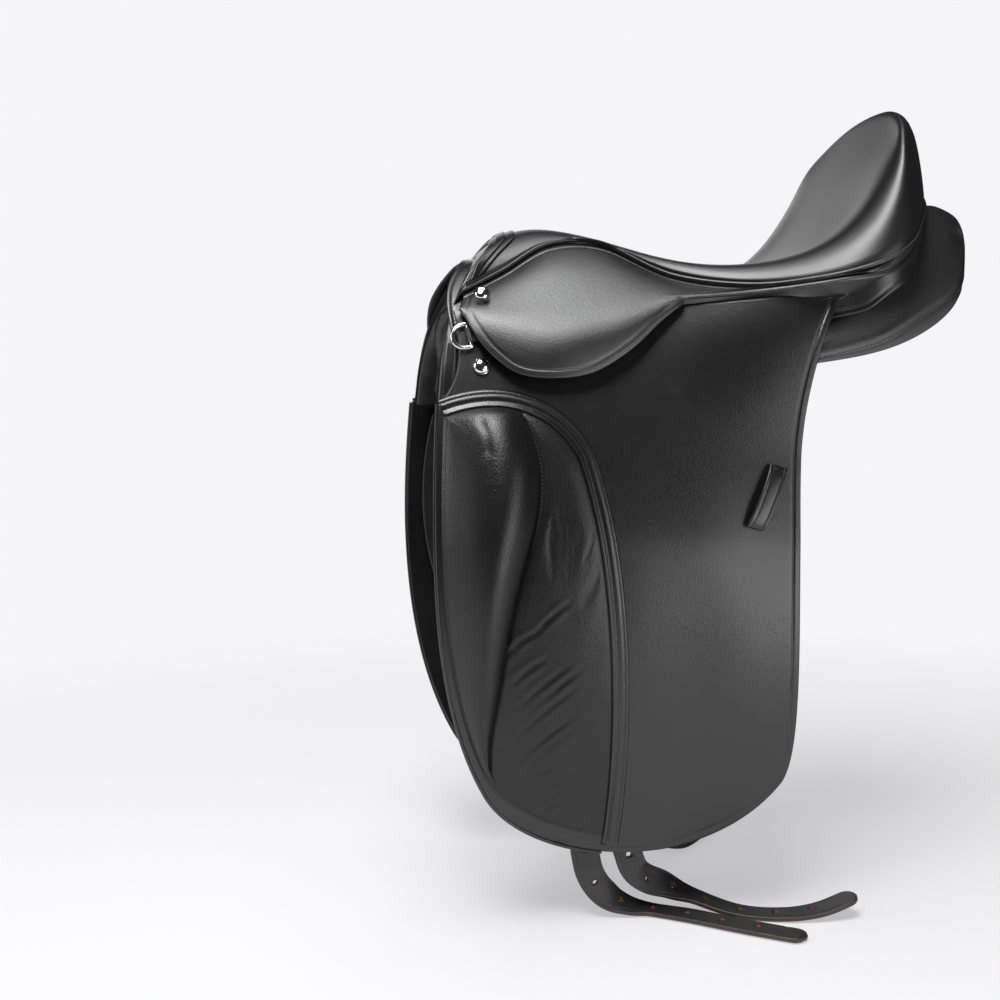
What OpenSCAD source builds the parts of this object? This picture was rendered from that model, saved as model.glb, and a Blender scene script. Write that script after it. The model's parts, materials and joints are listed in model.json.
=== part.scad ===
// Dressage saddle. Millimetres. X runs back to the cantle, Y to the horse's right, Z up.
// The origin is on the horse's back, under the lowest point of the seat.

/* [Seat] */
// Height of the lowest point of the seat over the horse's back
seat_low = 90; // [80:1:110]
// Length from the lowest point forward to the front of the pommel
seat_front = 214; // [195:1:230]
// Length from the lowest point back to the top of the cantle
seat_back = 150; // [140:1:165]
// Height of the pommel over the lowest point
pommel_rise = 36; // [28:1:46]
// Height of the cantle over the lowest point
cantle_rise = 153; // [130:1:165]
// Half width of the seat at its narrow waist
waist_half = 50; // [46:1:56]
// Half width of the seat at its widest
seat_half = 148; // [142:1:156]
// Thickness of the seat leather
cover_t = 2.5; // [1.5:0.1:3.5]
// Thickness of the seat foam
foam_t = 15; // [10:0.5:18]
// Radius of the piping between seat and skirts
welt_r = 1.8; // [1.2:0.1:2.4]

/* [Flaps] */
// Reach of the flaps forward of the lowest point of the seat
flap_front = 272; // [262:1:280]
// Reach of the flaps back at their upper corner
flap_rear = 65; // [55:1:75]
// Depth of the flaps below the horse's back
flap_drop = 418; // [380:1:440]
// Half width over the flaps at the knee
flap_half = 141; // [136:1:150]
// Thickness of the flap leather
flap_t = 4; // [3:0.1:5]
// Free space on each side of the girth straps under a flap
strap_room = 4; // [3:0.1:6]
// Thickness of the sweat flap leather
sweat_t = 3; // [2:0.1:4]
// Depth of the sweat flaps below the horse's back
sweat_drop = 332; // [300:1:350]
// Height of the knee block over the flap
block_h = 27; // [18:1:34]
// Thickness of the soft leather over the knee block
grip_t = 2.2; // [1.5:0.1:3]

/* [Skirts] */
// Thickness of the skirt leather
skirt_t = 3.5; // [2.5:0.1:4.5]
// Depth of the skirt below its fold
skirt_drop = 68; // [60:1:74]
// Outward swell of the skirt over the stirrup bar
skirt_swell = 9; // [6:0.5:14]

/* [Panel] */
// Height of the panel's top at the waist
panel_top = 33; // [28:1:35]
// Half width of the channel between the two cushions
gullet_half = 30; // [26:1:36]
// Length of the panel behind the lowest point of the seat
panel_back = 204; // [198:1:210]

/* [Girth straps] */
// Width of a girth strap
billet_w = 25; // [20:1:28]
// Thickness of a girth strap
billet_t = 4; // [3:0.1:5]
// Diameter of the buckle holes
hole_d = 5; // [4:0.1:6.5]
// Spacing of the buckle holes
hole_pitch = 32; // [24:1:36]
// Number of buckle holes in each strap
hole_n = 8; // [4:1:9]
// Distance of the last buckle hole from the end of the strap
hole_tip = 42; // [30:1:55]

/* [Stirrup bar] */
// Length of the stirrup bar blade
blade_len = 78; // [66:1:84]
// Height of the blade
blade_h = 13; // [10:0.5:15]
// Thickness of the blade
blade_t = 4; // [3:0.1:5]
// Gap for the stirrup leather behind the blade
blade_gap = 7; // [6:0.1:9]
// Diameter of the catch pin
catch_pin_d = 4; // [3:0.1:5]

/* [Small metal parts] */
// Diameter of the saddle nail heads
nail_d = 14; // [10:0.5:16]
// Wire diameter of the dee rings
dee_wire = 3.6; // [3:0.1:5]
// Length of the straight side of a dee ring
dee_len = 20; // [16:0.5:26]
// Reach of a dee ring from its straight side
dee_reach = 14.5; // [13:0.5:18]

/* [Fits] */
// Space between neighbouring leather layers
lay = 0.4; // [0.3:0.05:0.6]
// Radial clearance of the running pins
run = 0.06; // [0.03:0.01:0.1]

/* [Hidden] */

$fn = 28;
leather = [0.07, 0.07, 0.075];
soft = [0.11, 0.11, 0.115];
wood = [0.72, 0.55, 0.36];
foam = [0.85, 0.82, 0.7];
linen = [0.8, 0.76, 0.66];
steel = [0.8, 0.8, 0.82];

// Small helpers
function unit(v) = v / norm(v);
function mix(a, b, t) = a + (b - a) * t;
function clamp(t) = max(0, min(1, t));
function ease(t) = let (c = clamp(t)) c * c * (3 - 2 * c);
function bend(p, t) = let (s = 1 - t)
    s * s * s * p[0] + 3 * s * s * t * p[1] + 3 * s * t * t * p[2] + t * t * t * p[3];

// A smooth curve through equally spaced points
function thru(p, t) = let (n = len(p) - 1,
    k = min(floor(clamp(t) * n), n - 1),
    f = clamp(t) * n - k,
    b = p[k],
    c = p[k + 1],
    a = k > 0 ? p[k - 1] : 2 * b - c,
    d = k < n - 1 ? p[k + 2] : 2 * c - b)
    0.5 * (2 * b + (c - a) * f + (2 * a - 5 * b + 4 * c - d) * f * f
        + (3 * b - a - 3 * c + d) * f * f * f);

// A closed solid from points and triangles, turned right side out
module solid(points, tris) {
    parts = [for (t = tris) cross(points[t[0]], points[t[1]]) * points[t[2]]];
    volume = parts * [for (p = parts) 1];
    polyhedron(points, volume < 0 ? tris : [for (t = tris) [t[2], t[1], t[0]]]);
}

function quad(a, b, c, d) = [[a, b, c], [a, c, d]];

// A plate between two grids of points
module plate(front, back) {
    m = len(front);
    n = len(front[0]);
    s = m * n;
    rim = concat([for (i = [0:n - 2]) i], [for (j = [0:m - 2]) j * n + n - 1],
        [for (i = [n - 1:-1:1]) (m - 1) * n + i], [for (j = [m - 1:-1:1]) j * n]);
    cells = [for (j = [0:m - 2]) for (i = [0:n - 2]) j * n + i];
    solid(concat([for (r = front) each r], [for (r = back) each r]),
        concat([for (c = cells) each quad(c, c + 1, c + n + 1, c + n)],
            [for (c = cells) each quad(s + c, s + c + n, s + c + n + 1, s + c + 1)],
            [for (k = [0:len(rim) - 1]) let (a = rim[k], b = rim[(k + 1) % len(rim)])
                each quad(b, a, s + a, s + b)]));
}

// The direction square to a grid at one of its points, and a grid moved along it
function square_to(g, j, i) = let (m = len(g) - 1, n = len(g[0]) - 1)
    unit(cross(g[j][min(i + 1, n)] - g[j][max(i - 1, 0)],
        g[min(j + 1, m)][i] - g[max(j - 1, 0)][i]));
function moved(g, d) = [for (j = [0:len(g) - 1]) [for (i = [0:len(g[0]) - 1])
    g[j][i] + d * square_to(g, j, i)]];

// A solid through a row of closed rings
module skin(rings) {
    n = len(rings[0]);
    m = len(rings);
    solid([for (r = rings) each r],
        concat([for (j = [0:m - 2]) for (i = [0:n - 1]) let (k = (i + 1) % n)
            each quad(j * n + i, j * n + k, j * n + n + k, j * n + n + i)],
            [for (i = [1:n - 2]) [0, i + 1, i]],
            [for (i = [1:n - 2]) [(m - 1) * n, (m - 1) * n + i, (m - 1) * n + i + 1]]));
}

// Space between two lengths of one strap
butt = 0.05;
function along(path, k) = unit(path[min(k + 1, len(path) - 1)] - path[max(k - 1, 0)]);

// A flat strap along a path or a stretch of it, its width set by one direction per point
module strap(path, wide, w, t, first = 0, last = -1) {
    skin([for (k = [first:(last < 0 ? len(path) - 1 : last)]) let (a = along(path, k),
        x = unit(wide[k] - (wide[k] * a) * a),
        y = cross(a, x),
        p = path[k] + (first > 0 && k == first ? butt * a : [0, 0, 0]))
        [for (c = [[-1, -1], [1, -1], [1, 1], [-1, 1]])
            p + c[0] * x * w / 2 + c[1] * y * t / 2]]);
}

// A round cord along a path
module cord(path, r, sides) {
    skin([for (k = [0:len(path) - 1]) let (a = along(path, k),
        x = unit(cross(a, abs(a[2]) > 0.9 ? [1, 0, 0] : [0, 0, 1])),
        y = cross(a, x))
        [for (i = [0:sides - 1]) path[k]
            + r * (cos(360 * i / sides) * x + sin(360 * i / sides) * y)]]);
}

// Pieces are drawn for the left side and turned over for the right
module side(s) {
    if (s < 0) children();
    else mirror([0, 1, 0]) children();
}
function over(p) = [p[0], -p[1], p[2]];
function both(path) = concat([for (k = [len(path) - 1:-1:1]) path[k]], [for (p = path) over(p)]);

// Seat: lengthwise lines at the middle, along the rim and along the piping
pommel_z = seat_low + pommel_rise;
cantle_z = seat_low + cantle_rise;
mid_line = [[-seat_front, 0, seat_low + 0.64 * pommel_rise],
    [-0.9 * seat_front, 0, seat_low + 0.9 * pommel_rise],
    [-0.76 * seat_front, 0, pommel_z],
    [-0.54 * seat_front, 0, seat_low + 0.6 * pommel_rise],
    [-0.28 * seat_front, 0, seat_low + 0.09 * pommel_rise],
    [0, 0, seat_low],
    [0.37 * seat_back, 0, seat_low + 0.06 * cantle_rise],
    [0.655 * seat_back, 0, seat_low + 0.3 * cantle_rise],
    [0.865 * seat_back, 0, seat_low + 0.69 * cantle_rise],
    [seat_back, 0, cantle_z]];
rim_line = [[-seat_front - 10, waist_half + 6, pommel_z - 26],
    [-seat_front + 17, waist_half + 1, pommel_z - 13],
    [-0.77 * seat_front, waist_half - 2, pommel_z - 4],
    [-0.55 * seat_front, waist_half + 3, seat_low + 0.59 * pommel_rise],
    [-0.29 * seat_front, waist_half + 23, seat_low - 2],
    [-4, 0.7 * seat_half, seat_low - 4],
    [46, 0.885 * seat_half, seat_low + 6],
    [82, 0.985 * seat_half, seat_low + 32],
    [104, seat_half, seat_low + 0.41 * cantle_rise],
    [seat_back - 33, seat_half - 8, seat_low + 0.57 * cantle_rise]];
welt_line = [[-seat_front - 34, waist_half + 36, pommel_z - 61],
    [-seat_front + 2, waist_half + 22, pommel_z - 42],
    [-0.79 * seat_front, waist_half + 9, pommel_z - 17],
    [-0.57 * seat_front, waist_half + 10, seat_low + 0.55 * pommel_rise],
    [-0.3 * seat_front, waist_half + 31, seat_low - 8],
    [-4, 0.76 * seat_half, seat_low - 18],
    [44, 0.935 * seat_half, seat_low - 14],
    [80, 1.025 * seat_half, seat_low - 6],
    [108, 1.03 * seat_half, seat_low + 5],
    [seat_back - 22, 0.97 * seat_half, seat_low + 18]];

function dish(u, v) = let (c = thru(mid_line, u),
    r = thru(rim_line, u),
    k = pow(abs(v), 2 + 0.5 * ease((u - 0.7) / 0.3)))
    [mix(c[0], r[0], k), v * r[1], mix(c[2], r[2], k)];
function dish_up(u, v) = unit(cross(dish(u, v + 0.02) - dish(u, v - 0.02),
    dish(min(u + 0.02, 1), v) - dish(max(u - 0.02, 0), v))) * -1;
function under(u, v, d) = dish(u, v) - d * dish_up(u, v);

// The edge of the seat runs back along the left, round the cantle and forward again
seat_rows = 16;
seat_cols = 10;
edge = concat([for (k = [0:seat_rows]) [k / seat_rows, -1]],
    [for (k = [1:seat_cols - 1]) [1, -1 + 2 * k / seat_cols]],
    [for (k = [seat_rows:-1:0]) [k / seat_rows, 1]]);
back_top = thru(welt_line, 1);
function welt_at(e) = e[0] < 1 || abs(e[1]) == 1
    ? let (w = thru(welt_line, e[0])) [w[0], e[1] * w[1], w[2]]
    : let (a = abs(e[1]))
        [back_top[0] + 51 * (1 - pow(a, 2.2)), e[1] * back_top[1],
            back_top[2] + 58 * (1 - a * a)];
function wall(e, t) = let (p = dish(e[0], e[1]), q = welt_at(e), s = sin(180 * t))
    mix(p, q, t) + (e[0] < 1 ? [0, e[1] * 5 * s, 2 * s] : [6 * s, e[1] * 5 * s, 3 * s]);
function edge_way(e) = e[0] < 1
    ? welt_at([min(e[0] + 0.02, 0.999), e[1]]) - welt_at([max(e[0] - 0.02, 0), e[1]])
    : welt_at([1, min(e[1] + 0.02, 1)]) - welt_at([1, max(e[1] - 0.02, -1)]);
function wall_down(e) = let (w = unit(edge_way(e)), d = welt_at(e) - wall(e, 0.7))
    unit(d - (d * w) * w);
function below(e, d) = welt_at(e) + d * wall_down(e);

// Flaps: half width over the outer face at any place on the side
knee_z = -145;
function half_at(x, z) = flap_half
    - (z > knee_z ? 0.01465 * pow(z - knee_z, 1.5) : 0.00187 * pow(knee_z - z, 1.8))
    + 16 * sin(90 * clamp((x + 275) / 300))
    + 22 * ease((x + 120) / 170) * ease((z + 80) / 130);
function lay_on(p, d) = [p[0], -(half_at(p[0], p[1]) + d), p[1]];

// Fold line of the flaps
fold_a = [-flap_front, -31];
fold_b = [flap_rear, 56];
fold_gap = 0.4;
function fold(t, d) = mix(fold_a, fold_b, t) + [0, d];

// A patch inside four edges that meet at their corners
function patch(top, foot, front, rear, m, n) = [for (j = [0:m]) let (v = j / m)
    [for (i = [0:n]) let (u = i / n)
        mix(bend(top, u), bend(foot, u), v) + mix(bend(front, v), bend(rear, v), u)
        - mix(mix(top[0], top[3], u), mix(foot[0], foot[3], u), v)]];
function straight(a, b) = [a, mix(a, b, 1 / 3), mix(a, b, 2 / 3), b];
function laid(g, d) = [for (r = g) [for (p = r) lay_on(p, d)]];

foot_front = [-flap_front + 40, -flap_drop + 58];
foot_rear = [25, -flap_drop + 61];
flap_edge_front = [fold(0, -fold_gap), [-flap_front - 8, -150], [-flap_front - 7, -275], foot_front];
flap_edge_foot = [foot_front, [-196, -flap_drop - 9], [-38, -flap_drop - 31], foot_rear];
flap_edge_rear = [fold(1, -fold_gap), [-8, -70], [52, -310], foot_rear];

// The knee area in front of the double seam
grip_a = [-flap_front + 5, -41];
grip_b = [-158, -76];
grip_c = [-129, -flap_drop + 17];
grip_d = foot_front + [5, 6];
grip_grid = patch([grip_a, [-flap_front + 48, -24], [-178, -34], grip_b],
    [grip_d, [-203, -flap_drop + 38], [-168, -flap_drop + 24], grip_c],
    [grip_a, [-flap_front - 3, -150], [-flap_front - 1, -268], grip_d],
    [grip_b, [-126, -180], [-124, -330], grip_c], 16, 12);
function block_edge(v) = thru([0.5, 0.58, 0.55, 0.47, 0.4, 0.34, 0.28, 0.2, 0.12], v / 0.9);
function knee_at(u, v) = let (m = len(grip_grid) - 1, n = len(grip_grid[0]) - 1,
    a = min(floor(v * m), m - 1),
    b = min(floor(u * n), n - 1),
    j = v * m - a,
    i = u * n - b)
    mix(mix(grip_grid[a][b], grip_grid[a][b + 1], i),
        mix(grip_grid[a + 1][b], grip_grid[a + 1][b + 1], i), j);
// Height of the block, by the share of its width and the share of its length
function block_rise(a, v) = a >= 1 ? 0
    : block_h * pow(sin(180 * pow(a, 1.35)), 0.8)
        * pow(sin(180 * pow(clamp(v / 0.97), 0.62)), 0.75) * mix(1, 0.55, v);
knee_cols = [0, 0.1, 0.25, 0.42, 0.6, 0.76, 0.9, 1];
function knee(d, share) = [for (j = [0:20]) let (v = j / 20, e = block_edge(v))
    concat([for (a = knee_cols) lay_on(knee_at(a * e, v), d + share * block_rise(a, v))],
        [for (k = [1:4]) lay_on(knee_at(mix(e, 1, k / 4), v), d)])];

// Layers under a flap, measured in from its outer face
billet_in = flap_t + strap_room + billet_t / 2;
strap_back = 2.6;
sweat_in = flap_t + 2 * strap_room + billet_t + strap_back;
panel_in = sweat_in + sweat_t + 1;

// Arch at the front: middle line of the tree head and outward direction
arch = [[-206, 0, pommel_z - 40], [-216, -32, pommel_z - 46], [-229, -60, pommel_z - 64],
    [-240, -82, 33], [-246, -93, 2], [-249, -99, -26]];
arch_n = 16;
function arch_at(t) = thru(arch, t);
function arch_out(t) = let (a = arch_at(min(t + 0.03, 1)) - arch_at(max(t - 0.03, 0)),
    f = [-1, 0, 0])
    unit(cross(f, a));
function arch_line(d, x, t0, t1) = [for (k = [0:arch_n]) let (t = mix(t0, t1, k / arch_n))
    arch_at(t) + d * arch_out(t) + [x + (x < 0 ? 17 * ease((t - 0.4) / 0.4) : 0), 0, 0]];
head_t = 12;
head_w = 34;

module tree_head() color(wood)
    let (p = both(arch_line(0, 0, 0, 1)))
    strap(p, [for (q = p) [1, 0, 0]], head_w, head_t);

// Place of the stirrup bar, turned and leaned to lie with the flap
bar_len = blade_len + 18;
bar_h = 26;
bar_x = -174;
bar_z = 26;
bar_lean = -16;
bar_deep = 11;
bar_turn = -3.8;
function bar_at(p) = let (y = p[1] * cos(bar_lean) - p[2] * sin(bar_lean),
    z = p[1] * sin(bar_lean) + p[2] * cos(bar_lean))
    lay_on([bar_x, bar_z], 0) + [p[0] * cos(bar_turn) - y * sin(bar_turn),
        p[0] * sin(bar_turn) + y * cos(bar_turn), z];

// Places of the girth straps and their webbing
billet_x = [-100, -62];
billet_z = 44;
web_t = 1.6;

// Depth of the seat foam under the leather
foam_top = cover_t + lay;
function foam_deep(u, v) = foam_t * (1 - 0.7 * pow(abs(v), 6)) * (1 - 0.6 * ease((u - 0.72) / 0.25))
    * (1 - 0.5 * ease((0.12 - u) / 0.12));

// Side bars of the tree: from the head, past the stirrup bar and the webbing, to the cantle
rail_h = 22;
rail_t = 9;
rail_end = [88, -113, 74.4];
bar_in = bar_deep + 2 * lay + rail_t / 2;
web_in = billet_in + billet_t / 2 + lay + 1 + web_t / 2;
rail_in = web_in + web_t / 2 + lay + 3.4 + rail_t / 2;
rail = [arch_at(0.62) + [head_w / 2 + 7.6, -1, 1], bar_at([-32, bar_in + 1.5, 0]), bar_at([0, bar_in, 0]),
    bar_at([32, bar_in, 0]), lay_on([billet_x[0], billet_z - 3], -rail_in),
    lay_on([billet_x[1], billet_z - 1], -rail_in), [20, -104, 53], rail_end];
module tree_rail(s) color(wood) side(s)
    let (p = [for (k = [0:21]) thru(rail, k / 21)])
    strap(p, [for (q = p) [0, 0.27, 1]], rail_h, rail_t);

// Back of the tree
cantle_t = 8;
function foam_foot(u, v, d) = under(u, v, foam_top + 1.5 + foam_deep(u, v) + d);
cantle_in = 2 * lay;
function foam_sheet(rows, cols, d) = [for (j = rows) [for (v = cols) foam_foot(j / seat_rows, v, d)]];
module tree_cantle() color(wood) {
    arch_cols = [for (i = [1:seat_cols - 1]) -1 + 2 * i / seat_cols];
    plate(foam_sheet([13, 14, 14.6], arch_cols, cantle_in),
        foam_sheet([13, 14, 14.6], arch_cols, cantle_in + cantle_t));
    for (s = [-1, 1]) side(s)
        plate(foam_sheet([11, 12, 13, 14], [-0.78, -0.6], cantle_in + 0.5),
            foam_sheet([11, 12, 13, 14], [-0.78, -0.6], cantle_in + cantle_t - 0.5));
}

// Steel plate under the head and its rivets
plate_t = 3;
module head_plate() color(steel)
    let (p = both(arch_line(-head_t / 2 - 0.8 - plate_t / 2, 0, 0, 0.62)))
    strap(p, [for (q = p) [1, 0, 0]], 26, plate_t);

rivet_d = 6;
module head_rivets() color(steel)
    for (s = [-1, 1]) side(s) for (t = [0.2, 0.42]) {
        o = arch_out(t);
        translate(arch_at(t) - (head_t / 2 + plate_t + 0.8 + 1.6) * o)
        rotate([atan2(-o[1], o[2]), 0, 0]) {
            cylinder(d = rivet_d, h = head_t + plate_t + 1.6);
            cylinder(d = rivet_d + 5, h = 1.3);
        }
    }

// Webbing under the seat foam
module seat_webs() color(linen) {
    for (v = [-0.34, 0.34]) {
        p = [for (k = [0:10]) let (u = mix(0.24, 0.8, k / 10))
            under(u, v, foam_top + foam_deep(u, v) + 3.6 + web_t / 2)];
        strap(p, [for (q = p) [0, 1, 0]], 30, web_t);
    }
    for (u = [0.42, 0.55, 0.68]) {
        p = [for (k = [0:10]) let (v = mix(-0.6, 0.6, k / 10))
            under(u, v, foam_top + foam_deep(u, v) + (u > 0.6 ? 9 : 6.8) + web_t / 2)];
        strap(p, [for (q = p) [1, 0, 0]], 36, web_t);
    }
}

// Webbing that carries the girth straps over the tree
module girth_web(x) color(linen)
    let (p = both([[x, 0, 65.5], [x, -50, 65], [x, -80, 64], lay_on([x, 61], -web_in - 4),
            lay_on([x, 54], -web_in), lay_on([x, 42], -web_in), lay_on([x, 30], -web_in)]))
    strap(p, [for (q = p) [1, 0, 0]], billet_w + 6, web_t);

module seat_foam() color(foam) {
    rows = [for (j = [1:seat_rows - 1]) j / seat_rows];
    cols = concat([-0.92], [for (i = [1:seat_cols - 1]) -1 + 2 * i / seat_cols], [0.92]);
    plate([for (u = rows) [for (v = cols) under(u, v, foam_top + (abs(v) > 0.9 ? 1.5 : 0))]],
        [for (u = rows) [for (v = cols) under(u, v, foam_top + 1.5 + foam_deep(u, v))]]);
}

// Seat leather: the dish and the wall that falls from its rim to the piping
wall_n = 3;
seat_pts = (seat_rows + 1) * (seat_cols + 1);
edge_ids = concat([for (j = [0:seat_rows]) j * (seat_cols + 1)],
    [for (i = [1:seat_cols - 1]) seat_rows * (seat_cols + 1) + i],
    [for (j = [seat_rows:-1:0]) j * (seat_cols + 1) + seat_cols]);
function wall_id(k, i) = k == 0 ? edge_ids[i] : seat_pts + (k - 1) * len(edge) + i;
module seat_cover() color(leather) {
    r = seat_rows;
    c = seat_cols;
    top = [for (j = [0:r]) [for (i = [0:c]) dish(j / r, -1 + 2 * i / c)]];
    drop = [for (k = [0:wall_n]) [for (e = edge) wall(e, k / wall_n)]];
    top_in = [for (j = [0:r]) [for (i = [0:c]) let (rim = i == 0 || i == c || j == r,
        e = [j / r, -1 + 2 * i / c],
        n = dish_up(e[0], e[1]),
        o = rim ? unit(n - 0.9 * wall_down(e)) + (e[0] < 1 ? [0, e[1], 0] : [0.8, e[1] * 0.6, 0]) : n)
        top[j][i] - cover_t * o]];
    drop_in = moved(drop, cover_t);
    n = c + 1;
    ne = len(edge);
    half = seat_pts + wall_n * ne;
    faces = concat([for (j = [0:r - 1]) for (i = [0:c - 1])
        each quad(j * n + i, j * n + i + 1, j * n + n + i + 1, j * n + n + i)],
        [for (k = [0:wall_n - 1]) for (i = [0:ne - 2])
            each quad(wall_id(k, i), wall_id(k, i + 1), wall_id(k + 1, i + 1), wall_id(k + 1, i))]);
    rim = concat([for (i = [0:ne - 1]) wall_id(wall_n, i)],
        [for (k = [wall_n - 1:-1:0]) wall_id(k, ne - 1)],
        [for (i = [c - 1:-1:0]) i], [for (k = [1:wall_n - 1]) wall_id(k, 0)]);
    solid(concat([for (q = top) each q], [for (k = [1:wall_n]) each drop[k]],
        [for (q = top_in) each q], [for (k = [1:wall_n]) each drop_in[k]]),
        concat(faces, [for (t = faces) [half + t[2], half + t[1], half + t[0]]],
            [for (k = [0:len(rim) - 1]) let (a = rim[k], b = rim[(k + 1) % len(rim)])
                each quad(a, b, half + b, half + a)]));
}

module seat_welt() color(leather)
    cord([for (e = edge) below(e, welt_r + lay)], welt_r, 8);

// Band round the back of the cantle
skirt_gap = 2 * welt_r + 2 * lay + 0.9;
module cantle_band() color(leather) {
    e = [for (k = [seat_rows - 2:len(edge) - seat_rows + 1]) edge[k]];
    g = [for (t = [0, 0.25, 0.5, 0.75, 1]) [for (q = e)
        below(q, skirt_gap - 0.7 + 26 * t) + [3, 0, 0] * sin(180 * t) * (q[0] < 1 ? 0 : 1)]];
    plate(g, moved(g, 4));
}

// Leather facing round the front of the arch
module head_facing() color(leather)
    let (p = both(arch_line(head_t / 2 + 5, -12, 0, 0.93)))
    strap(p, [for (q = p) [1, 0, 0]], 30, 2.4);

// Front roll that joins the two cushions under the head
module panel_collar() color(leather)
    let (p = both(arch_line(-head_t / 2 - plate_t - 8, -16, 0, 0.97)))
    cord(p, 6.5, 10);

// Cushions: one ring per station, given by centre, half sizes and tilt
panel_mid = [[-236, -36, 22], [-190, -36, 4], [-120, -40, 4], [-40, -50, panel_top - 19],
    [40, -54, panel_top - 13], [110, -52, 42], [156, -47, 62],
    [panel_back - 15, -42, 94], [panel_back, -36, 98]];
panel_size = [[9, 26], [19, 44], [18, 40], [18, 47], [17, 51], [31, 50], [37, 46], [47, 37], [27, 16]];
panel_tilt = [62, 56, 46, 24, 8, 2, 0, 0, 0];
module panel(s) color(leather) side(s)
    skin([for (k = [0:20]) let (t = k / 20,
        m = thru(panel_mid, t),
        z = thru(panel_size, t),
        a = thru(panel_tilt, t))
        [for (i = [0:19]) let (f = 18 * i,
            p = z[1] * sign(cos(f)) * pow(abs(cos(f)), 0.75),
            q = z[0] * sign(sin(f)) * pow(abs(sin(f)), 0.75),
            y = m[1] - gullet_half + p * cos(a) + q * sin(a),
            h = m[2] + p * sin(a) - q * cos(a))
            [m[0], max(y, panel_in - half_at(m[0], h)), h]]]);

// Lining over the channel between the cushions
module gullet_lining() color(linen)
    plate([for (k = [0:10]) [for (y = [-1, 0, 1]) [mix(-190, 150, k / 10),
            y * (gullet_half - 4), mix(58.6, 64.6, abs(k - 5) / 5) + 2 * (1 - abs(y))]]],
        [for (k = [0:10]) [for (y = [-1, 0, 1]) [mix(-190, 150, k / 10),
            y * (gullet_half - 4), mix(56.6, 62.6, abs(k - 5) / 5) + 2 * (1 - abs(y))]]]);

// Pockets over the points of the tree
module point_pocket(s) color(leather) side(s)
    let (p = arch_line(head_t / 2 + 1.8, 4, 0.72, 1))
    strap(p, [for (q = p) [1, 0, 0]], head_w + 6, 2);

module sweat_flap(s) color(leather) side(s) {
    a = [-252, -42];
    b = [30, 6];
    c = [-206, -sweat_drop + 48];
    d = [-10, -sweat_drop + 64];
    g = laid(patch([a, [-160, -44], [-60, -8], b],
        [c, [-170, -sweat_drop - 14], [-60, -sweat_drop - 14], d],
        [a, [-270, -110], [-266, -220], c],
        [b, [0, -60], [26, -200], d], 12, 10), -sweat_in);
    plate(g, moved(g, sweat_t));
}

module flap_head(s) color(leather) side(s)
    difference() {
        a = [-flap_front + 16, 46];
        b = [flap_rear + 22, 68];
        g = laid(patch([a, [-190, 52], [-60, 46], b],
            straight(fold(0, fold_gap), fold(1, fold_gap)),
            [a, [-flap_front + 20, 26], [-flap_front + 24, -10], fold(0, fold_gap)],
            straight(b, fold(1, fold_gap)), 5, 16), 0);
        plate(g, moved(g, flap_t));
        bar_place() translate([-bar_len / 2 - 4, -20, -bar_h / 2 - 3])
            cube([bar_len / 2 + catch_x + 12, 40, bar_h + 6]);
    }

module flap(s) color(leather) side(s) {
    g = laid(patch(straight(fold(0, -fold_gap), fold(1, -fold_gap)), flap_edge_foot, flap_edge_front,
        flap_edge_rear, 15, 12), 0);
    plate(g, moved(g, flap_t));
}

module knee_block(s) color(foam) side(s) {
    rows = [for (j = [0:14]) mix(0.05, 0.86, j / 14)];
    cols = [0.14, 0.25, 0.42, 0.6, 0.76, 0.86];
    plate([for (v = rows) [for (a = cols) lay_on(knee_at(a * block_edge(v), v),
            lay + max(0.8, block_rise(a, v) * 0.88 - 2))]],
        [for (v = rows) [for (a = cols) lay_on(knee_at(a * block_edge(v), v), lay)]]);
}

module grip(s) color(soft) side(s)
    plate(knee(lay + 0.3 + grip_t, 1), knee(lay + 0.3, 1));

// Loop for the end of the stirrup leather
keep_top = [8, -82];
keep_foot = [-14, -133];
module keeper(s) color(leather) side(s)
    let (p = [for (k = [0:12]) let (t = k / 12)
        lay_on(mix(keep_top, keep_foot, t), 2 + 6 * pow(sin(180 * t), 0.5))])
    strap(p, [for (q = p) [1, 0, -0.2]], 15, 2.4);

// Skirts: the fixed upper part along the piping and the lower part that lifts
skirt_fold = [[-249, -112, 47], [-66, -128, 57]];
hem = [[-249, -115, 41], [-243, -123, 29], [-231, -129, 12], [-208, -137, 62 - skirt_drop],
    [-177, -142, 58 - skirt_drop], [-145, -142, 63 - skirt_drop], [-113, -140, 14],
    [-88, -134, 36], [-67, -129, 52]];
strip = [for (f = [-0.02, 0.15, 0.4, 0.68, 1]) mix(skirt_fold[0], skirt_fold[1], f) + [0, 0.4, 0.8]];
strip_rear = [[-4, -0.9 * seat_half, seat_low - 26], [44, -1.03 * seat_half, seat_low - 20],
    [82, -1.095 * seat_half, seat_low - 13], [112, -1.1 * seat_half, seat_low - 3]];
module skirt_top(s) color(leather) side(s) {
    g = [for (j = [0:6]) let (t = j / 6) [for (k = [0:18]) let (u = 0.86 * k / 18,
        a = below([u, -1], skirt_gap),
        b = thru(concat(strip, strip_rear), u * 9 / 8))
        mix(a, b, t) + sin(180 * t) * 6 * sin(180 * clamp(u / 0.5)) * [0, -0.7, 0.7]]];
    plate(g, [for (j = [0:6]) [for (k = [0:18])
        g[j][k] + skirt_t * unit(mix(square_to(g, j, k), [0, 1, 0], j / 6))]]);
}

module skirt(s) color(leather) side(s) {
    g = [for (j = [0:8]) let (t = j / 8) [for (k = [0:16]) let (f = k / 16)
        mix(mix(skirt_fold[0], skirt_fold[1], f), thru(hem, f), t)
        + sin(180 * t) * skirt_swell * sin(180 * f) * [0, -0.9, 0.4]]];
    plate(g, moved(g, skirt_t));
}

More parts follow.
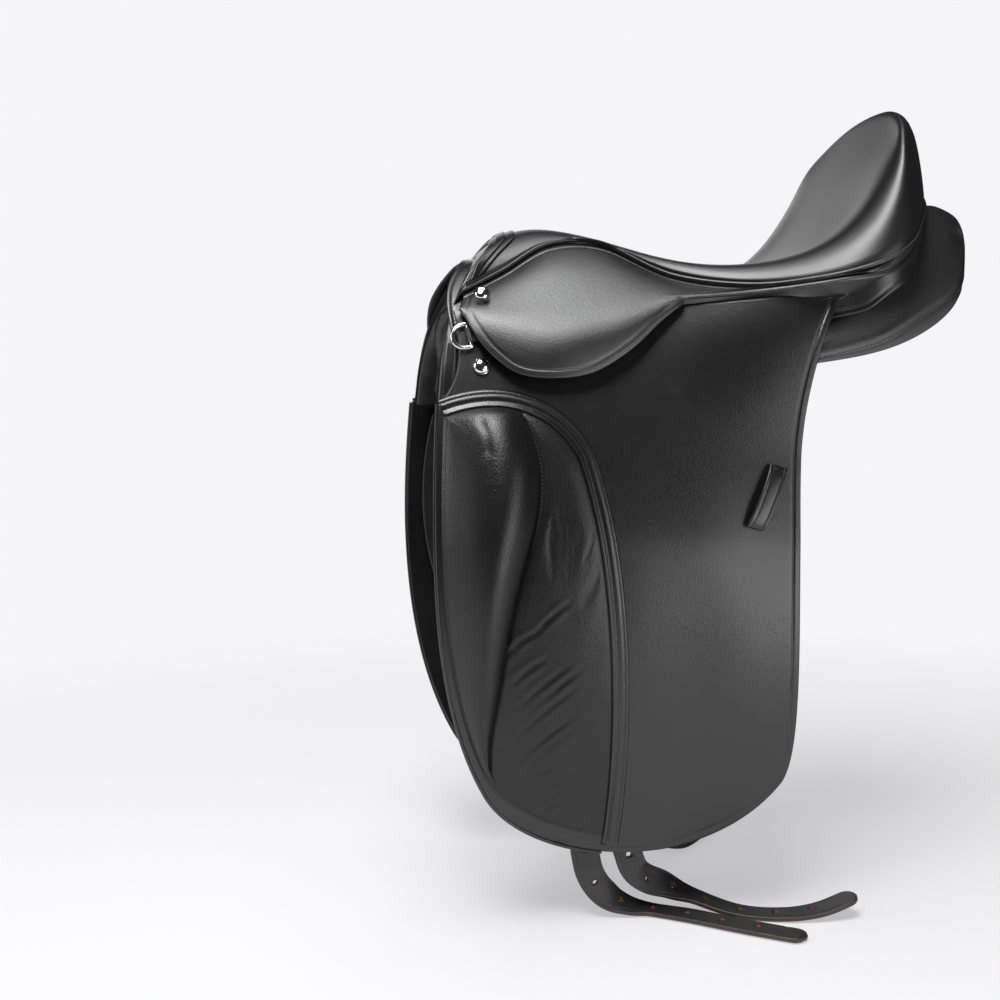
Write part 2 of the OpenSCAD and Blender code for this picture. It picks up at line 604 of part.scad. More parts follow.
// Stirrup bar in the opening of the flap head
module bar_place() translate(bar_at([0, 0, 0]))
    rotate([0, 0, bar_turn]) rotate([bar_lean, 0, 0]) children();
catch_r = blade_h / 2;
catch_x = blade_len / 2 + 4;
blade_y = bar_deep - 3 - blade_gap - blade_t;
module stirrup_bar(s) color(steel) side(s) bar_place() difference() {
    union() {
        translate([-bar_len / 2, bar_deep - 3, -bar_h / 2]) cube([bar_len, 3, bar_h]);
        translate([-bar_len / 2, blade_y, -blade_h / 2]) cube([9, blade_gap + blade_t + 1, blade_h]);
        translate([-bar_len / 2, blade_y, -blade_h / 2]) cube([bar_len / 2 + catch_x, blade_t, blade_h]);
        translate([catch_x, blade_y, 0]) rotate([-90, 0, 0]) cylinder(r = catch_r, h = blade_t);
    }
    translate([catch_x, blade_y - 1, 0]) rotate([-90, 0, 0])
        cylinder(d = catch_pin_d - 0.02, h = blade_t + 2);
    for (x = [-30, 0, 30]) translate([x, bar_deep - 4, 0]) rotate([-90, 0, 0]) cylinder(d = 5, h = 5);
}

module catch_pin(s) color(steel) side(s) bar_place()
    translate([catch_x, blade_y, 0]) rotate([-90, 0, 0]) {
        translate([0, 0, -3.2]) cylinder(d = catch_pin_d, h = blade_t + 3.2);
        translate([0, 0, -4]) cylinder(d = catch_pin_d + 2.5, h = 0.8);
    }

module catch(s) color(steel) side(s) bar_place()
    translate([catch_x, blade_y - 0.3, 0]) rotate([90, 0, 0]) difference() {
        union() {
            cylinder(r = catch_r - 1, h = 2.4);
            translate([0, -catch_r + 1, 0]) cube([18, 2 * catch_r - 2, 2.4]);
        }
        translate([0, 0, -1]) cylinder(d = catch_pin_d + 2 * run, h = 5);
    }

// Domed nails
nail_at = [[-233, 60], [-235, 0]];
module nail(p, y, lean, long) translate([p[0], -y, p[1]]) rotate([90 - lean, 0, 0])
    rotate_extrude() polygon(concat([[0, -long], [1.6, -long], [1.6, 0], [nail_d / 2, 0]],
        [for (k = [1:8]) [nail_d / 2 * cos(k * 90 / 8), 4.5 * sin(k * 90 / 8)]]));
module saddle_nails() color(steel) for (s = [-1, 1]) side(s)
    nail(nail_at[0], 108, 40, 14);
module flap_nails() color(steel) for (s = [-1, 1]) side(s)
    nail(nail_at[1], half_at(nail_at[1][0], nail_at[1][1]) + 0.8, 14, 12.4);

// Dee ring on its leather loop
dee_x = -244;
dee_z = 25.5;
module dee_place() translate([dee_x, -half_at(dee_x, dee_z) - dee_wire / 2 - 1.6, dee_z])
    rotate([0, 0, -4.7]) rotate([-16, 0, 0]) rotate([0, -12, 0]) children();
module dee(s) color(steel) side(s) dee_place() {
    cylinder(d = dee_wire, h = dee_len, center = true);
    for (k = [-1, 1]) {
        translate([0, 0, k * dee_len / 2]) sphere(d = dee_wire);
        translate([0, 0, k * dee_len / 2]) rotate([0, -90, 0])
            cylinder(d = dee_wire, h = dee_reach - dee_len / 2);
    }
    translate([-dee_reach + dee_len / 2, 0, 0]) rotate([90, 0, 0]) rotate([0, 0, 90])
        rotate_extrude(angle = 180) translate([dee_len / 2, 0]) circle(d = dee_wire);
}
module dee_chape(s) color(leather) side(s) dee_place() difference() {
    union() {
        cylinder(d = dee_wire + 2.4, h = dee_len - 8, center = true);
        translate([0, -dee_wire / 2 - 0.2, -dee_len / 2 + 4]) cube([15, dee_wire + 0.6, dee_len - 8]);
    }
    cylinder(d = dee_wire + 0.16, h = dee_len, center = true);
}

// Girth straps: route under the flap, then out over the ground
lie = -478;
tail = [[[-141, -92, -418], [-136, -93, -440], [-124, -90, -458], [-104, -86, -471], [-80, -87, lie],
        [-50, -106, lie], [-10, -137, lie], [34, -168, lie]],
    [[-104, -92, -418], [-97, -93, -437], [-84, -88, -449], [-64, -79, -459], [-40, -80, -470],
        [-6, -101, lie], [30, -116, lie], [64, -120, -474], [98, -119, -463]],
    [[-104, -92, -418], [-97, -93, -437], [-84, -87, -450], [-64, -75, -459], [-40, -63, -469],
        [-10, -80, lie], [18, -108, lie], [44, -136, lie], [66, -164, lie]]];
tail_wide = [[[1, 0, 0], [1, 0, 0.2], [0.8, 0.3, 0.5], [0.4, 0.9, 0.3], [0.3, 1, 0],
        [0.6, 0.8, 0], [0.68, 0.72, 0], [0.65, 0.75, 0]],
    [[1, 0, 0], [0.95, 0.05, 0.32], [0.55, 0.35, 0.72], [0.32, 0.7, 0.6], [0.36, 0.91, 0.12],
        [0.44, 0.9, 0], [0.2, 0.98, 0], [0, 1, 0], [0, 1, 0]],
    [[1, 0, 0], [1, 0.05, 0.3], [0.8, 0.25, 0.6], [0.5, 0.7, 0.5], [0.3, 0.9, 0.2],
        [0.5, 0.85, 0], [0.7, 0.7, 0], [0.75, 0.66, 0], [0.75, 0.66, 0]]];
hang_n = 14;
tail_n = 26;
// Under the webbing the straps lie back against the sweat flap, and further in below it
function back_in(z) = billet_in + strap_back * ease((10 - z) / 70) + 2.4 * ease((-345 - z) / 60);
function hang(b) = [for (k = [0:hang_n - 1]) let (z = mix(billet_z + 10, -400, k / (hang_n - 1)),
    x = mix(billet_x[b], tail[b][0][0], (billet_z + 10 - z) / (billet_z + 428)))
    lay_on([x, z], -back_in(z))];
function run_out(b, c) = let (shift = lay_on([tail[b][0][0], -418], -back_in(-418))[1] - tail[b][0][1])
    [for (k = [0:tail_n]) let (t = k / tail_n) thru(tail[c], t) + [0, shift * (1 - ease(t * 2)), 0]];
function route(b, c) = concat(hang(b), run_out(b, c));
function route_wide(c) = concat([for (k = [1:hang_n]) [1, 0, 0]],
    [for (k = [0:tail_n]) thru(tail_wide[c], k / tail_n)]);

// A place on a route, by its distance from the end: which stretch, and how far along it
function back_to(path, d, k) = let (s = norm(path[k] - path[k - 1]))
    d <= s || k == 1 ? [k, d / s] : back_to(path, d - s, k - 1);

// Each strap has two lengths, one under the flap and one from below the flap to the end
join_k = hang_n + 3;
module billet(s, b, c, first, last) color(leather) side(s) {
    path = route(b, c);
    wide = route_wide(c);
    difference() {
        strap(path, wide, billet_w, billet_t, first, last);
        for (h = [0:hole_n - 1])
            let (e = back_to(path, hole_tip + h * hole_pitch, len(path) - 1),
                k = e[0],
                a = unit(path[k - 1] - path[k]),
                n = unit(cross(a, wide[k])))
            if (k > first && k <= last)
                translate(mix(path[k], path[k - 1], e[1]))
                rotate([0, acos(n[2]), atan2(n[1], n[0])])
                cylinder(d = hole_d, h = 4 * billet_t, center = true);
    }
}
module billet_top(s, b, c) billet(s, b, c, 0, join_k);
module billet_end(s, b, c) billet(s, b, c, join_k, hang_n + tail_n);

tree_head();
tree_rail(-1);  // tree_rail_left
tree_rail(1);  // tree_rail_right
tree_cantle();
head_plate();
head_rivets();
seat_webs();
girth_web(billet_x[0]);  // girth_web_front
girth_web(billet_x[1]);  // girth_web_rear
seat_foam();
seat_cover();
seat_welt();
cantle_band();
head_facing();
panel_collar();
panel(-1);  // panel_left
panel(1);  // panel_right
gullet_lining();
point_pocket(-1);  // point_pocket_left
point_pocket(1);  // point_pocket_right
sweat_flap(-1);  // sweat_flap_left
sweat_flap(1);  // sweat_flap_right
flap_head(-1);  // flap_head_left
flap_head(1);  // flap_head_right
skirt_top(-1);  // skirt_top_left
skirt_top(1);  // skirt_top_right
stirrup_bar(-1);  // stirrup_bar_left
stirrup_bar(1);  // stirrup_bar_right
catch_pin(-1);  // catch_pin_left
catch_pin(1);  // catch_pin_right
saddle_nails();
flap_nails();
dee_chape(-1);  // dee_chape_left
dee_chape(1);  // dee_chape_right
flap(-1);  // flap_left
flap(1);  // flap_right
knee_block(-1);  // knee_block_left
knee_block(1);  // knee_block_right
grip(-1);  // grip_left
grip(1);  // grip_right
keeper(-1);  // keeper_left
keeper(1);  // keeper_right
skirt(-1);  // skirt_left
skirt(1);  // skirt_right
catch(-1);  // catch_left
catch(1);  // catch_right
dee(-1);  // dee_left
dee(1);  // dee_right
billet_top(-1, 0, 0);  // billet_front_left
billet_end(-1, 0, 0);  // billet_front_left_end
billet_top(-1, 1, 1);  // billet_rear_left
billet_end(-1, 1, 1);  // billet_rear_left_end
billet_top(1, 0, 0);  // billet_front_right
billet_end(1, 0, 0);  // billet_front_right_end
billet_top(1, 1, 2);  // billet_rear_right
billet_end(1, 1, 2);  // billet_rear_right_end
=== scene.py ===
"""Dressage saddle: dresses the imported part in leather, stitching, chrome and studio light."""
import json
import logging
import math
from dataclasses import dataclass, field
from enum import Enum
from functools import cached_property
from typing import Any, Sequence

import bpy
import numpy as np
from mathutils.bvhtree import BVHTree
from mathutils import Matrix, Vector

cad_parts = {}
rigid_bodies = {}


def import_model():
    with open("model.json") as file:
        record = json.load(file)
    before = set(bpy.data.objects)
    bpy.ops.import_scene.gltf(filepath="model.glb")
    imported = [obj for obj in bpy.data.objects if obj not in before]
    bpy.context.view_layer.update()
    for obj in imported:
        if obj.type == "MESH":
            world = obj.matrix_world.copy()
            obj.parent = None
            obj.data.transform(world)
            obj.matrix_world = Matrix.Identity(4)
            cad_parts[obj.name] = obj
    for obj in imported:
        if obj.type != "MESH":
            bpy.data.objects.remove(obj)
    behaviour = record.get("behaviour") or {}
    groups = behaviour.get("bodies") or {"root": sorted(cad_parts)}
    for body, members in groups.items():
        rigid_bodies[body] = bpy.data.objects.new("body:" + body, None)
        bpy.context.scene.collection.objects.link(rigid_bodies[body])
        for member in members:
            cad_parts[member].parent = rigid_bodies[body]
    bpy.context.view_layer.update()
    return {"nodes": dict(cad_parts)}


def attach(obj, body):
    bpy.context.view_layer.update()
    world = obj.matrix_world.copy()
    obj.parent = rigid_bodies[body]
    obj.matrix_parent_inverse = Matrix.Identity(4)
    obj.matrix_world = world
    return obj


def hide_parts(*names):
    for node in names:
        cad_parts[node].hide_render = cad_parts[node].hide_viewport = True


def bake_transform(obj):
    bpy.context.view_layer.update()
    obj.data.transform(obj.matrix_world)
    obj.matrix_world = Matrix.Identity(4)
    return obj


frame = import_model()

LOG = logging.getLogger("saddle")
MM = 0.001
Array = np.ndarray
# Distances from a cut edge at which a leather sheet has a row of points
EDGE_STEPS = (0, 0.25, 0.7, 1.4, 2.4, 3.8, 5.0, 5.7, 6.3, 6.9, 7.5, 8.3, 9.6, 12)


class Side(Enum):
    """The two sides of the saddle; pieces are drawn for the left."""

    LEFT = "left"
    RIGHT = "right"

    def place(self, points: Array) -> Array:
        """Points of the left side, turned over for the right."""
        return points * ([1, 1, 1] if self is Side.LEFT else [1, -1, 1])


# Curves and grids

def unit(v: Array) -> Array:
    """Vectors of length one."""
    return v / np.maximum(np.linalg.norm(v, axis=-1, keepdims=True), 1e-9)


def mix(a: Any, b: Any, t: Any) -> Any:
    """A value between a and b."""
    return a + (b - a) * t


def ease(t: Any) -> Array:
    """A smooth step from 0 to 1."""
    c = np.clip(t, 0, 1)
    return c * c * (3 - 2 * c)


def bump(d: Any, width: float) -> Array:
    """A soft ridge of height one, by the distance from its middle."""
    return np.exp(-(np.asarray(d) / width) ** 2)


def bend(p: Sequence, t: Any) -> Array:
    """A point on a four-point curve.

    Args:
        p: the four control points.
        t: places along the curve, 0 to 1.

    Returns:
        The points, with the shape of t and one more axis.
    """
    q = np.asarray(p, float)
    t = np.asarray(t, float)[..., None]
    s = 1 - t
    return s ** 3 * q[0] + 3 * s * s * t * q[1] + 3 * s * t * t * q[2] + t ** 3 * q[3]


def thru(p: Sequence, t: Any) -> Array:
    """A smooth curve through equally spaced points.

    Args:
        p: the points, or plain numbers.
        t: places along the curve, 0 to 1.

    Returns:
        The points, with the shape of t and one more axis, or numbers for numbers.
    """
    q = np.asarray(p, float)
    flat = q.ndim == 1
    q = q[:, None] if flat else q
    n = len(q) - 1
    s = np.clip(np.asarray(t, float), 0, 1) * n
    k = np.minimum(np.floor(s).astype(int), n - 1)
    f = (s - k)[..., None]
    b, c = q[k], q[k + 1]
    a = np.where((k > 0)[..., None], q[np.maximum(k - 1, 0)], 2 * b - c)
    d = np.where((k < n - 1)[..., None], q[np.minimum(k + 2, n)], 2 * c - b)
    r = 0.5 * (2 * b + (c - a) * f + (2 * a - 5 * b + 4 * c - d) * f * f + (3 * b - a - 3 * c + d) * f ** 3)
    return r[..., 0] if flat else r


def spaced(length: float, step: float, low: bool = True, high: bool = True) -> Array:
    """Places along a side of a sheet, close together beside its cut edges.

    Args:
        length: length of the side in millimetres.
        step: spacing away from the edges.
        low: whether the start is a cut edge.
        high: whether the end is a cut edge.

    Returns:
        Rising numbers from 0 to 1.
    """
    edge = np.array(EDGE_STEPS)
    first = edge if low else np.array([0.0])
    last = length - edge[::-1] if high else np.array([length])
    n = max(2, round((last[0] - first[-1]) / step))
    return np.concatenate([first, np.linspace(first[-1], last[0], n + 1)[1:-1], last]) / length


def grid_quads(m: int, n: int) -> Array:
    """Four-sided faces of a grid of m rows and n columns."""
    c = (np.arange(m - 1)[:, None] * n + np.arange(n - 1)[None]).ravel()
    return np.stack([c, c + 1, c + n + 1, c + n], 1)


def tube_quads(m: int, n: int) -> Array:
    """Four-sided faces of m rings of n points each."""
    j, i = np.meshgrid(np.arange(m - 1), np.arange(n), indexing="ij")
    k = (i + 1) % n
    return np.stack([j * n + i, j * n + k, j * n + n + k, j * n + n + i], -1).reshape(-1, 4)


def side_walls(m: int, n: int) -> Array:
    """Faces that join the rim of a grid of m rows of n points to the rim of a second grid after it."""
    rim = np.concatenate([np.arange(n), np.arange(1, m) * n + n - 1,
                          (m - 1) * n + np.arange(n - 2, -1, -1), np.arange(m - 2, 0, -1) * n])
    return np.stack([rim, np.roll(rim, -1), np.roll(rim, -1) + m * n, rim + m * n], 1)


def normals_of(points: Array, quads: Array) -> Array:
    """Directions square to a surface at its points."""
    face = np.cross(points[quads[:, 2]] - points[quads[:, 0]], points[quads[:, 3]] - points[quads[:, 1]])
    out = np.zeros_like(points)
    for k in range(4):
        np.add.at(out, quads[:, k], face)
    return unit(out)


def relaxed(points: Array, quads: Array, weight: Array, rounds: int) -> Array:
    """A surface smoothed where its weight is not zero.

    Args:
        points: the surface's points.
        quads: its faces.
        weight: how much each point follows its neighbours, 0 to 1.
        rounds: number of passes.

    Returns:
        The moved points.
    """
    pair = np.unique(np.sort(np.concatenate([quads[:, [k, (k + 1) % 4]] for k in range(4)]), axis=1), axis=0)
    count = np.bincount(pair.ravel(), minlength=len(points))[:, None]
    p = points.copy()
    for _ in range(rounds):
        total = np.zeros_like(p)
        np.add.at(total, pair[:, 0], p[pair[:, 1]])
        np.add.at(total, pair[:, 1], p[pair[:, 0]])
        p = p + weight[:, None] * (total / np.maximum(count, 1) - p)
    return p


def eased(line: Array, weight: Array, rounds: int) -> Array:
    """A line smoothed along its length where its weight is not zero."""
    p = line.copy()
    for _ in range(rounds):
        p[1:-1] += weight[1:-1, None] * ((p[:-2] + p[2:]) / 2 - p[1:-1])
    return p


def reach(points: Array, starts: Array, ends: Array) -> Array:
    """Shortest distance from each point to a set of straight stretches."""
    way = ends - starts
    size = np.maximum((way * way).sum(1), 1e-9)
    out = np.empty(len(points))
    for k in range(0, len(points), 1500):
        d = points[k:k + 1500, None] - starts[None]
        t = np.clip((d * way).sum(2) / size, 0, 1)
        out[k:k + 1500] = np.sqrt((((d - t[..., None] * way) ** 2).sum(2)).min(1))
    return out


def reach_line(points: Array, line: Array) -> Array:
    """Shortest distance from each point to a polyline."""
    return reach(points, line[:-1], line[1:])


@dataclass(frozen=True)
class Groove:
    """A creased line in leather, at a set distance from an edge."""

    line: Array
    inset: float = 6.4
    width: float = 0.75
    depth: float = 0.8


def shell(points: Array, quads: Array, thick: float, outward: Sequence[float], corner: float = 1.4,
          grooves: Sequence[Groove] = ()) -> tuple[Array, Array, Array]:
    """A leather sheet with rounded cut edges and creased lines.

    Args:
        points: points of the outer face.
        quads: faces of the outer face.
        thick: thickness of the sheet.
        outward: a direction that the outer face looks to on the whole.
        corner: radius of the cut edges.
        grooves: creased lines in the outer face.

    Returns:
        Points, faces, and each point's distance from the cut edge.
    """
    n = normals_of(points, quads)
    if (n @ np.asarray(outward, float)).mean() < 0:
        quads, n = quads[:, ::-1], -n
    edges = np.concatenate([quads[:, [k, (k + 1) % 4]] for k in range(4)])
    key = np.sort(edges, axis=1)
    _, where, count = np.unique(key, axis=0, return_index=True, return_counts=True)
    rim = edges[where[count == 1]]
    near = reach(points, points[rim[:, 0]], points[rim[:, 1]])
    fall = np.where(near < corner, corner - np.sqrt(np.maximum(corner ** 2 - (corner - near) ** 2, 0)), 0)
    cut = np.zeros(len(points))
    for g in grooves:
        cut += g.depth * bump(reach_line(points, g.line) - g.inset, g.width)
    s = len(points)
    wall = np.stack([rim[:, 1], rim[:, 0], rim[:, 0] + s, rim[:, 1] + s], 1)
    return (np.concatenate([points - n * (fall + cut)[:, None], points - n * (thick - fall)[:, None]]),
            np.concatenate([quads, quads[:, ::-1] + s, wall]), np.concatenate([near, near]))


def ribbon(path: Array, wide: Array, places: Array, thick: float) -> Array:
    """Outer face of a flat strap.

    Args:
        path: middle line of the strap.
        wide: direction of its width at each point.
        places: distances across the width, one row or one row per point.
        thick: thickness, half of which the face stands off the path.

    Returns:
        A grid of points, one row per point of the path.
    """
    a = unit(np.gradient(path, axis=0))
    x = unit(wide - (wide * a).sum(1, keepdims=True) * a)
    y = np.cross(a, x)
    w = np.broadcast_to(places, (len(path), np.shape(places)[-1]))
    return path[:, None] + w[..., None] * x[:, None] - y[:, None] * thick / 2


# Pieces of the model

def make_piece(name: str, points: Array, faces: Array, finish: "Finish", side: Side = Side.LEFT,
               sharp: float = 60) -> bpy.types.Object:
    """A mesh object in the shared frame.

    Args:
        name: name of the piece.
        points: points in millimetres, drawn for the left side.
        faces: faces, looking outwards.
        finish: finish of the piece.
        side: side of the saddle.
        sharp: angle over which an edge shows as an edge.

    Returns:
        The new object.
    """
    turn = -1 if side is Side.RIGHT else 1
    mesh = bpy.data.meshes.new(name)
    mesh.from_pydata((side.place(points) * MM).tolist(), [], [tuple(f)[::turn] for f in np.asarray(faces).tolist()])
    mesh.shade_smooth()
    mesh.set_sharp_from_angle(angle=math.radians(sharp))
    mesh.materials.append(finish.material())
    obj = bpy.data.objects.new(name, mesh)
    bpy.context.scene.collection.objects.link(obj)
    return obj


def settle(obj: bpy.types.Object, body: str, replaces: Sequence[str] = ()) -> bpy.types.Object:
    """Lets a piece ride on a body, in place of its solids."""
    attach(obj, body)
    if replaces:
        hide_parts(*replaces)
    LOG.info("%s rides on %s", obj.name, body)
    return obj


def plain_mesh(obj: bpy.types.Object) -> None:
    """Turns the result of an object's modifiers into its own mesh."""
    graph = bpy.context.evaluated_depsgraph_get()
    mesh = bpy.data.meshes.new_from_object(obj.evaluated_get(graph))
    obj.modifiers.clear()
    obj.data = mesh


def cut_away(obj: bpy.types.Object, tool: bpy.types.Object) -> None:
    """Cuts one object out of another and removes the cutter."""
    m = obj.modifiers.new("cut", "BOOLEAN")
    m.operation = "DIFFERENCE"
    m.solver = "MANIFOLD"
    m.material_mode = "TRANSFER"
    m.object = tool
    plain_mesh(obj)
    bpy.data.objects.remove(tool)


def swell(points: Array, quads: Array, pinned: Array, pressure: float, cap: float) -> Array:
    """Padding that presses leather outwards between its seams, by cloth simulation.

    Args:
        points: points of the leather.
        quads: its faces, looking outwards.
        pinned: how firmly each point is sewn down, 0 to 1.
        pressure: pressure of the padding.
        cap: the most that a point may move, in millimetres.

    Returns:
        The moved points.
    """
    scene = bpy.context.scene
    mesh = bpy.data.meshes.new("padding")
    mesh.from_pydata((points * MM).tolist(), [], quads.tolist())
    obj = bpy.data.objects.new("padding", mesh)
    scene.collection.objects.link(obj)
    group = obj.vertex_groups.new(name="sewn")
    for k in np.nonzero(pinned > 0)[0]:
        group.add([int(k)], float(pinned[k]), "REPLACE")
    cloth = obj.modifiers.new("cloth", "CLOTH")
    cloth.settings.quality = 4
    cloth.settings.use_pressure = True
    cloth.settings.uniform_pressure_force = pressure
    cloth.settings.effector_weights.gravity = 0
    cloth.settings.vertex_group_mass = "sewn"
    cloth.collision_settings.use_collision = False
    for k in range(1, 21):
        scene.frame_set(k)
    graph = bpy.context.evaluated_depsgraph_get()
    done = obj.evaluated_get(graph)
    co = np.empty(len(points) * 3, np.float32)
    done.data.vertices.foreach_get("co", co)
    scene.frame_set(1)
    bpy.data.objects.remove(obj)
    move = co.reshape(-1, 3).astype(float) / MM - points
    size = np.linalg.norm(move, axis=1, keepdims=True)
    return points + move * (cap * np.tanh(size / cap) / np.maximum(size, 1e-6))


def drape(path: Array, obj: bpy.types.Object, lift: float = 0.0) -> tuple[Array, Array]:
    """A line laid on a piece's surface.

    Args:
        path: points of the line in millimetres, in place.
        obj: the piece.
        lift: height over the surface.

    Returns:
        The laid points and the directions square to the surface there.
    """
    tree = BVHTree.FromPolygons([v.co for v in obj.data.vertices], [p.vertices for p in obj.data.polygons])
    hit = [tree.find_nearest(p) for p in (path * MM).tolist()]
    up = np.array([h[1] for h in hit])
    return np.array([h[0] for h in hit]) / MM + up * lift, up


# Shader maths

class Val:
    """A shader value that takes part in plain arithmetic."""

    def __init__(self, shade: "Shade", socket: bpy.types.NodeSocket) -> None:
        """Keeps the socket and the material that it belongs to."""
        self.shade = shade
        self.socket = socket

    def _math(self, kind: str, a: Any, b: Any) -> "Val":
        """One Math node."""
        return self.shade.node("ShaderNodeMath", {"operation": kind}, {0: a, 1: b})

    def __add__(self, other: Any) -> "Val":
        """Sum."""
        return self._math("ADD", self, other)

    def __radd__(self, other: Any) -> "Val":
        """Sum, other way round."""
        return self._math("ADD", other, self)

    def __sub__(self, other: Any) -> "Val":
        """Difference."""
        return self._math("SUBTRACT", self, other)

    def __rsub__(self, other: Any) -> "Val":
        """Difference, other way round."""
        return self._math("SUBTRACT", other, self)

    def __mul__(self, other: Any) -> "Val":
        """Product."""
        return self._math("MULTIPLY", self, other)

    def __rmul__(self, other: Any) -> "Val":
        """Product, other way round."""
        return self._math("MULTIPLY", other, self)

    def step(self, low: float, high: float) -> "Val":
        """A smooth step from 0 at low to 1 at high."""
        return self.shade.node("ShaderNodeMapRange", {"interpolation_type": "SMOOTHSTEP"},
                               {"Value": self, "From Min": low, "From Max": high})


class Shade:
    """A material under construction."""

    def __init__(self, name: str) -> None:
        """Starts with one Principled shader."""
        self.mat = bpy.data.materials.new(name)
        self.mat.use_nodes = True
        self.tree = self.mat.node_tree
        self.main = self.tree.nodes["Principled BSDF"]

    def node(self, kind: str, settings: dict | None = None, values: dict | None = None, out: int | str = 0) -> Val:
        """Adds any node.

        Args:
            kind: type of the node.
            settings: its settings, which are set first.
            values: values or links of its sockets, by name or place.
            out: output socket to hand back.

        Returns:
            The output as a value.
        """
        n = self.tree.nodes.new(kind)
        for k, v in (settings or {}).items():
            setattr(n, k, v)
        for k, v in (values or {}).items():
            self.feed(n.inputs[k], v)
        return Val(self, n.outputs[out])

    def feed(self, socket: bpy.types.NodeSocket, value: Any) -> None:
        """Links or sets one socket."""
        if isinstance(value, Val):
            self.tree.links.new(value.socket, socket)
        else:
            socket.default_value = value

    def place(self) -> Val:
        """Object coordinates."""
        return self.node("ShaderNodeTexCoord", out="Object")

    def stretched(self, scale: tuple, turn: tuple = (0, 0, 0)) -> Val:
        """Object coordinates, turned and scaled along their axes."""
        return self.node("ShaderNodeMapping", None, {"Vector": self.place(), "Rotation": turn, "Scale": scale})

    def noise(self, scale: float, detail: float = 3, where: Val | None = None) -> Val:
        """Cloudy noise from 0 to 1."""
        return self.node("ShaderNodeTexNoise", None,
                         {"Vector": where or self.place(), "Scale": scale, "Detail": detail})

    def cells(self, scale: float, where: Val | None = None) -> Val:
        """Rounded cells, by the distance from their middles."""
        return self.node("ShaderNodeTexVoronoi", {"feature": "SMOOTH_F1"},
                         {"Vector": where or self.place(), "Scale": scale, "Smoothness": 0.35})

    def attribute(self, name: str) -> Val:
        """A number kept on the piece's points."""
        return self.node("ShaderNodeAttribute", {"attribute_name": name}, out="Fac")

    def tint(self, a: tuple, b: tuple | Val, share: Val) -> Val:
        """A colour between two."""
        return self.node("ShaderNodeMix", {"data_type": "RGBA"},
                         {0: share, 6: a if isinstance(a, Val) else (*a, 1), 7: b if isinstance(b, Val) else (*b, 1)},
                         2)

    def set(self, **values: Any) -> None:
        """Sets sockets of the main shader; an underscore stands for a space."""
        for k, v in values.items():
            self.feed(self.main.inputs[k.replace("_", " ")], (*v, 1) if isinstance(v, tuple) and len(v) == 3 else v)

    def relief(self, height: Val, depth: float, strength: float = 1.0) -> None:
        """Fine relief through a Bump node, with its depth in metres."""
        self.set(Normal=self.node("ShaderNodeBump", None,
                                  {"Height": height, "Distance": depth, "Strength": strength}))


# Finishes

_made: dict[str, bpy.types.Material] = {}


@dataclass(frozen=True)
class Finish:
    """A finish, made once and shared by its pieces."""

    name: str

    def material(self) -> bpy.types.Material:
        """The material of this finish."""
        if self.name not in _made:
            shade = Shade(self.name)
            self.dress(shade)
            _made[self.name] = shade.mat
        return _made[self.name]

    def dress(self, shade: Shade) -> None:
        """Sets up the shader."""
        raise NotImplementedError


@dataclass(frozen=True)
class Leather(Finish):
    """Dyed leather with pores, soft creases, a polished bloom and faint scuffs."""

    tone: tuple = (0.0052, 0.0052, 0.0057)
    worn: tuple = (0.012, 0.0117, 0.0114)
    gloss: float = 0.36
    pore: float = 1050
    depth: float = 0.00016
    crease: float = 0.35
    scuffs: float = 0.35
    shine: float = 0.75
    raw: bool = False

    def dress(self, shade: Shade) -> None:
        """Sets up grain, bloom and scuffs."""
        cloud = shade.noise(7, 4)
        fine = shade.noise(2600, 2)
        pores = shade.cells(self.pore)
        folds = shade.noise(1, 5, shade.stretched((260, 260, 620), (0.3, 0.2, 0.4)))
        rub = shade.noise(46, 7).step(0.56, 0.78) * shade.noise(9, 3).step(0.42, 0.7) * self.scuffs
        colour = shade.tint(self.tone, self.worn, cloud * 0.35 + rub * 0.6)
        if self.raw:
            edge = shade.attribute("raw").step(0.35, 0.8) * shade.noise(60, 4).step(0.3, 0.62)
            colour = shade.tint(colour, (0.07, 0.03, 0.014), edge * 0.6)
        shade.set(Base_Color=colour, Roughness=self.gloss + cloud * 0.1 + rub * 0.25 - 0.05,
                  Specular_IOR_Level=self.shine)
        shade.relief(pores * 0.75 + fine * 0.3 + folds * self.crease, self.depth)


@dataclass(frozen=True)
class RawLeather(Finish):
    """Undyed cut leather inside punched holes."""

    def dress(self, shade: Shade) -> None:
        """Sets up brown fibres."""
        fibre = shade.noise(900, 4)
        shade.set(Base_Color=shade.tint((0.09, 0.035, 0.014), (0.2, 0.09, 0.04), fibre), Roughness=0.85)
        shade.relief(fibre, 0.0002)


@dataclass(frozen=True)
class Thread(Finish):
    """Waxed black linen thread."""

    def dress(self, shade: Shade) -> None:
        """Sets up twisted strands."""
        strand = shade.noise(1, 2, shade.stretched((2600, 2600, 900)))
        shade.set(Base_Color=shade.tint((0.012, 0.012, 0.013), (0.045, 0.044, 0.043), strand),
                  Roughness=0.5 + strand * 0.2)
        shade.relief(strand, 0.00012)


@dataclass(frozen=True)
class Metal(Finish):
    """Bright or brushed metal."""

    tone: tuple = (0.78, 0.78, 0.79)
    gloss: float = 0.12
    brush: float = 0.05

    def dress(self, shade: Shade) -> None:
        """Sets up polish and fine scratches."""
        scratch = shade.noise(1, 3, shade.stretched((180, 2400, 180)))
        cloud = shade.noise(60, 3)
        dull = tuple(c * 0.8 for c in self.tone)
        shade.set(Base_Color=shade.tint(self.tone, dull, cloud.step(0.45, 0.8)), Metallic=1.0,
                  Roughness=self.gloss + scratch * self.brush + cloud * 0.05)
        shade.relief(scratch, 0.00002, 0.4)


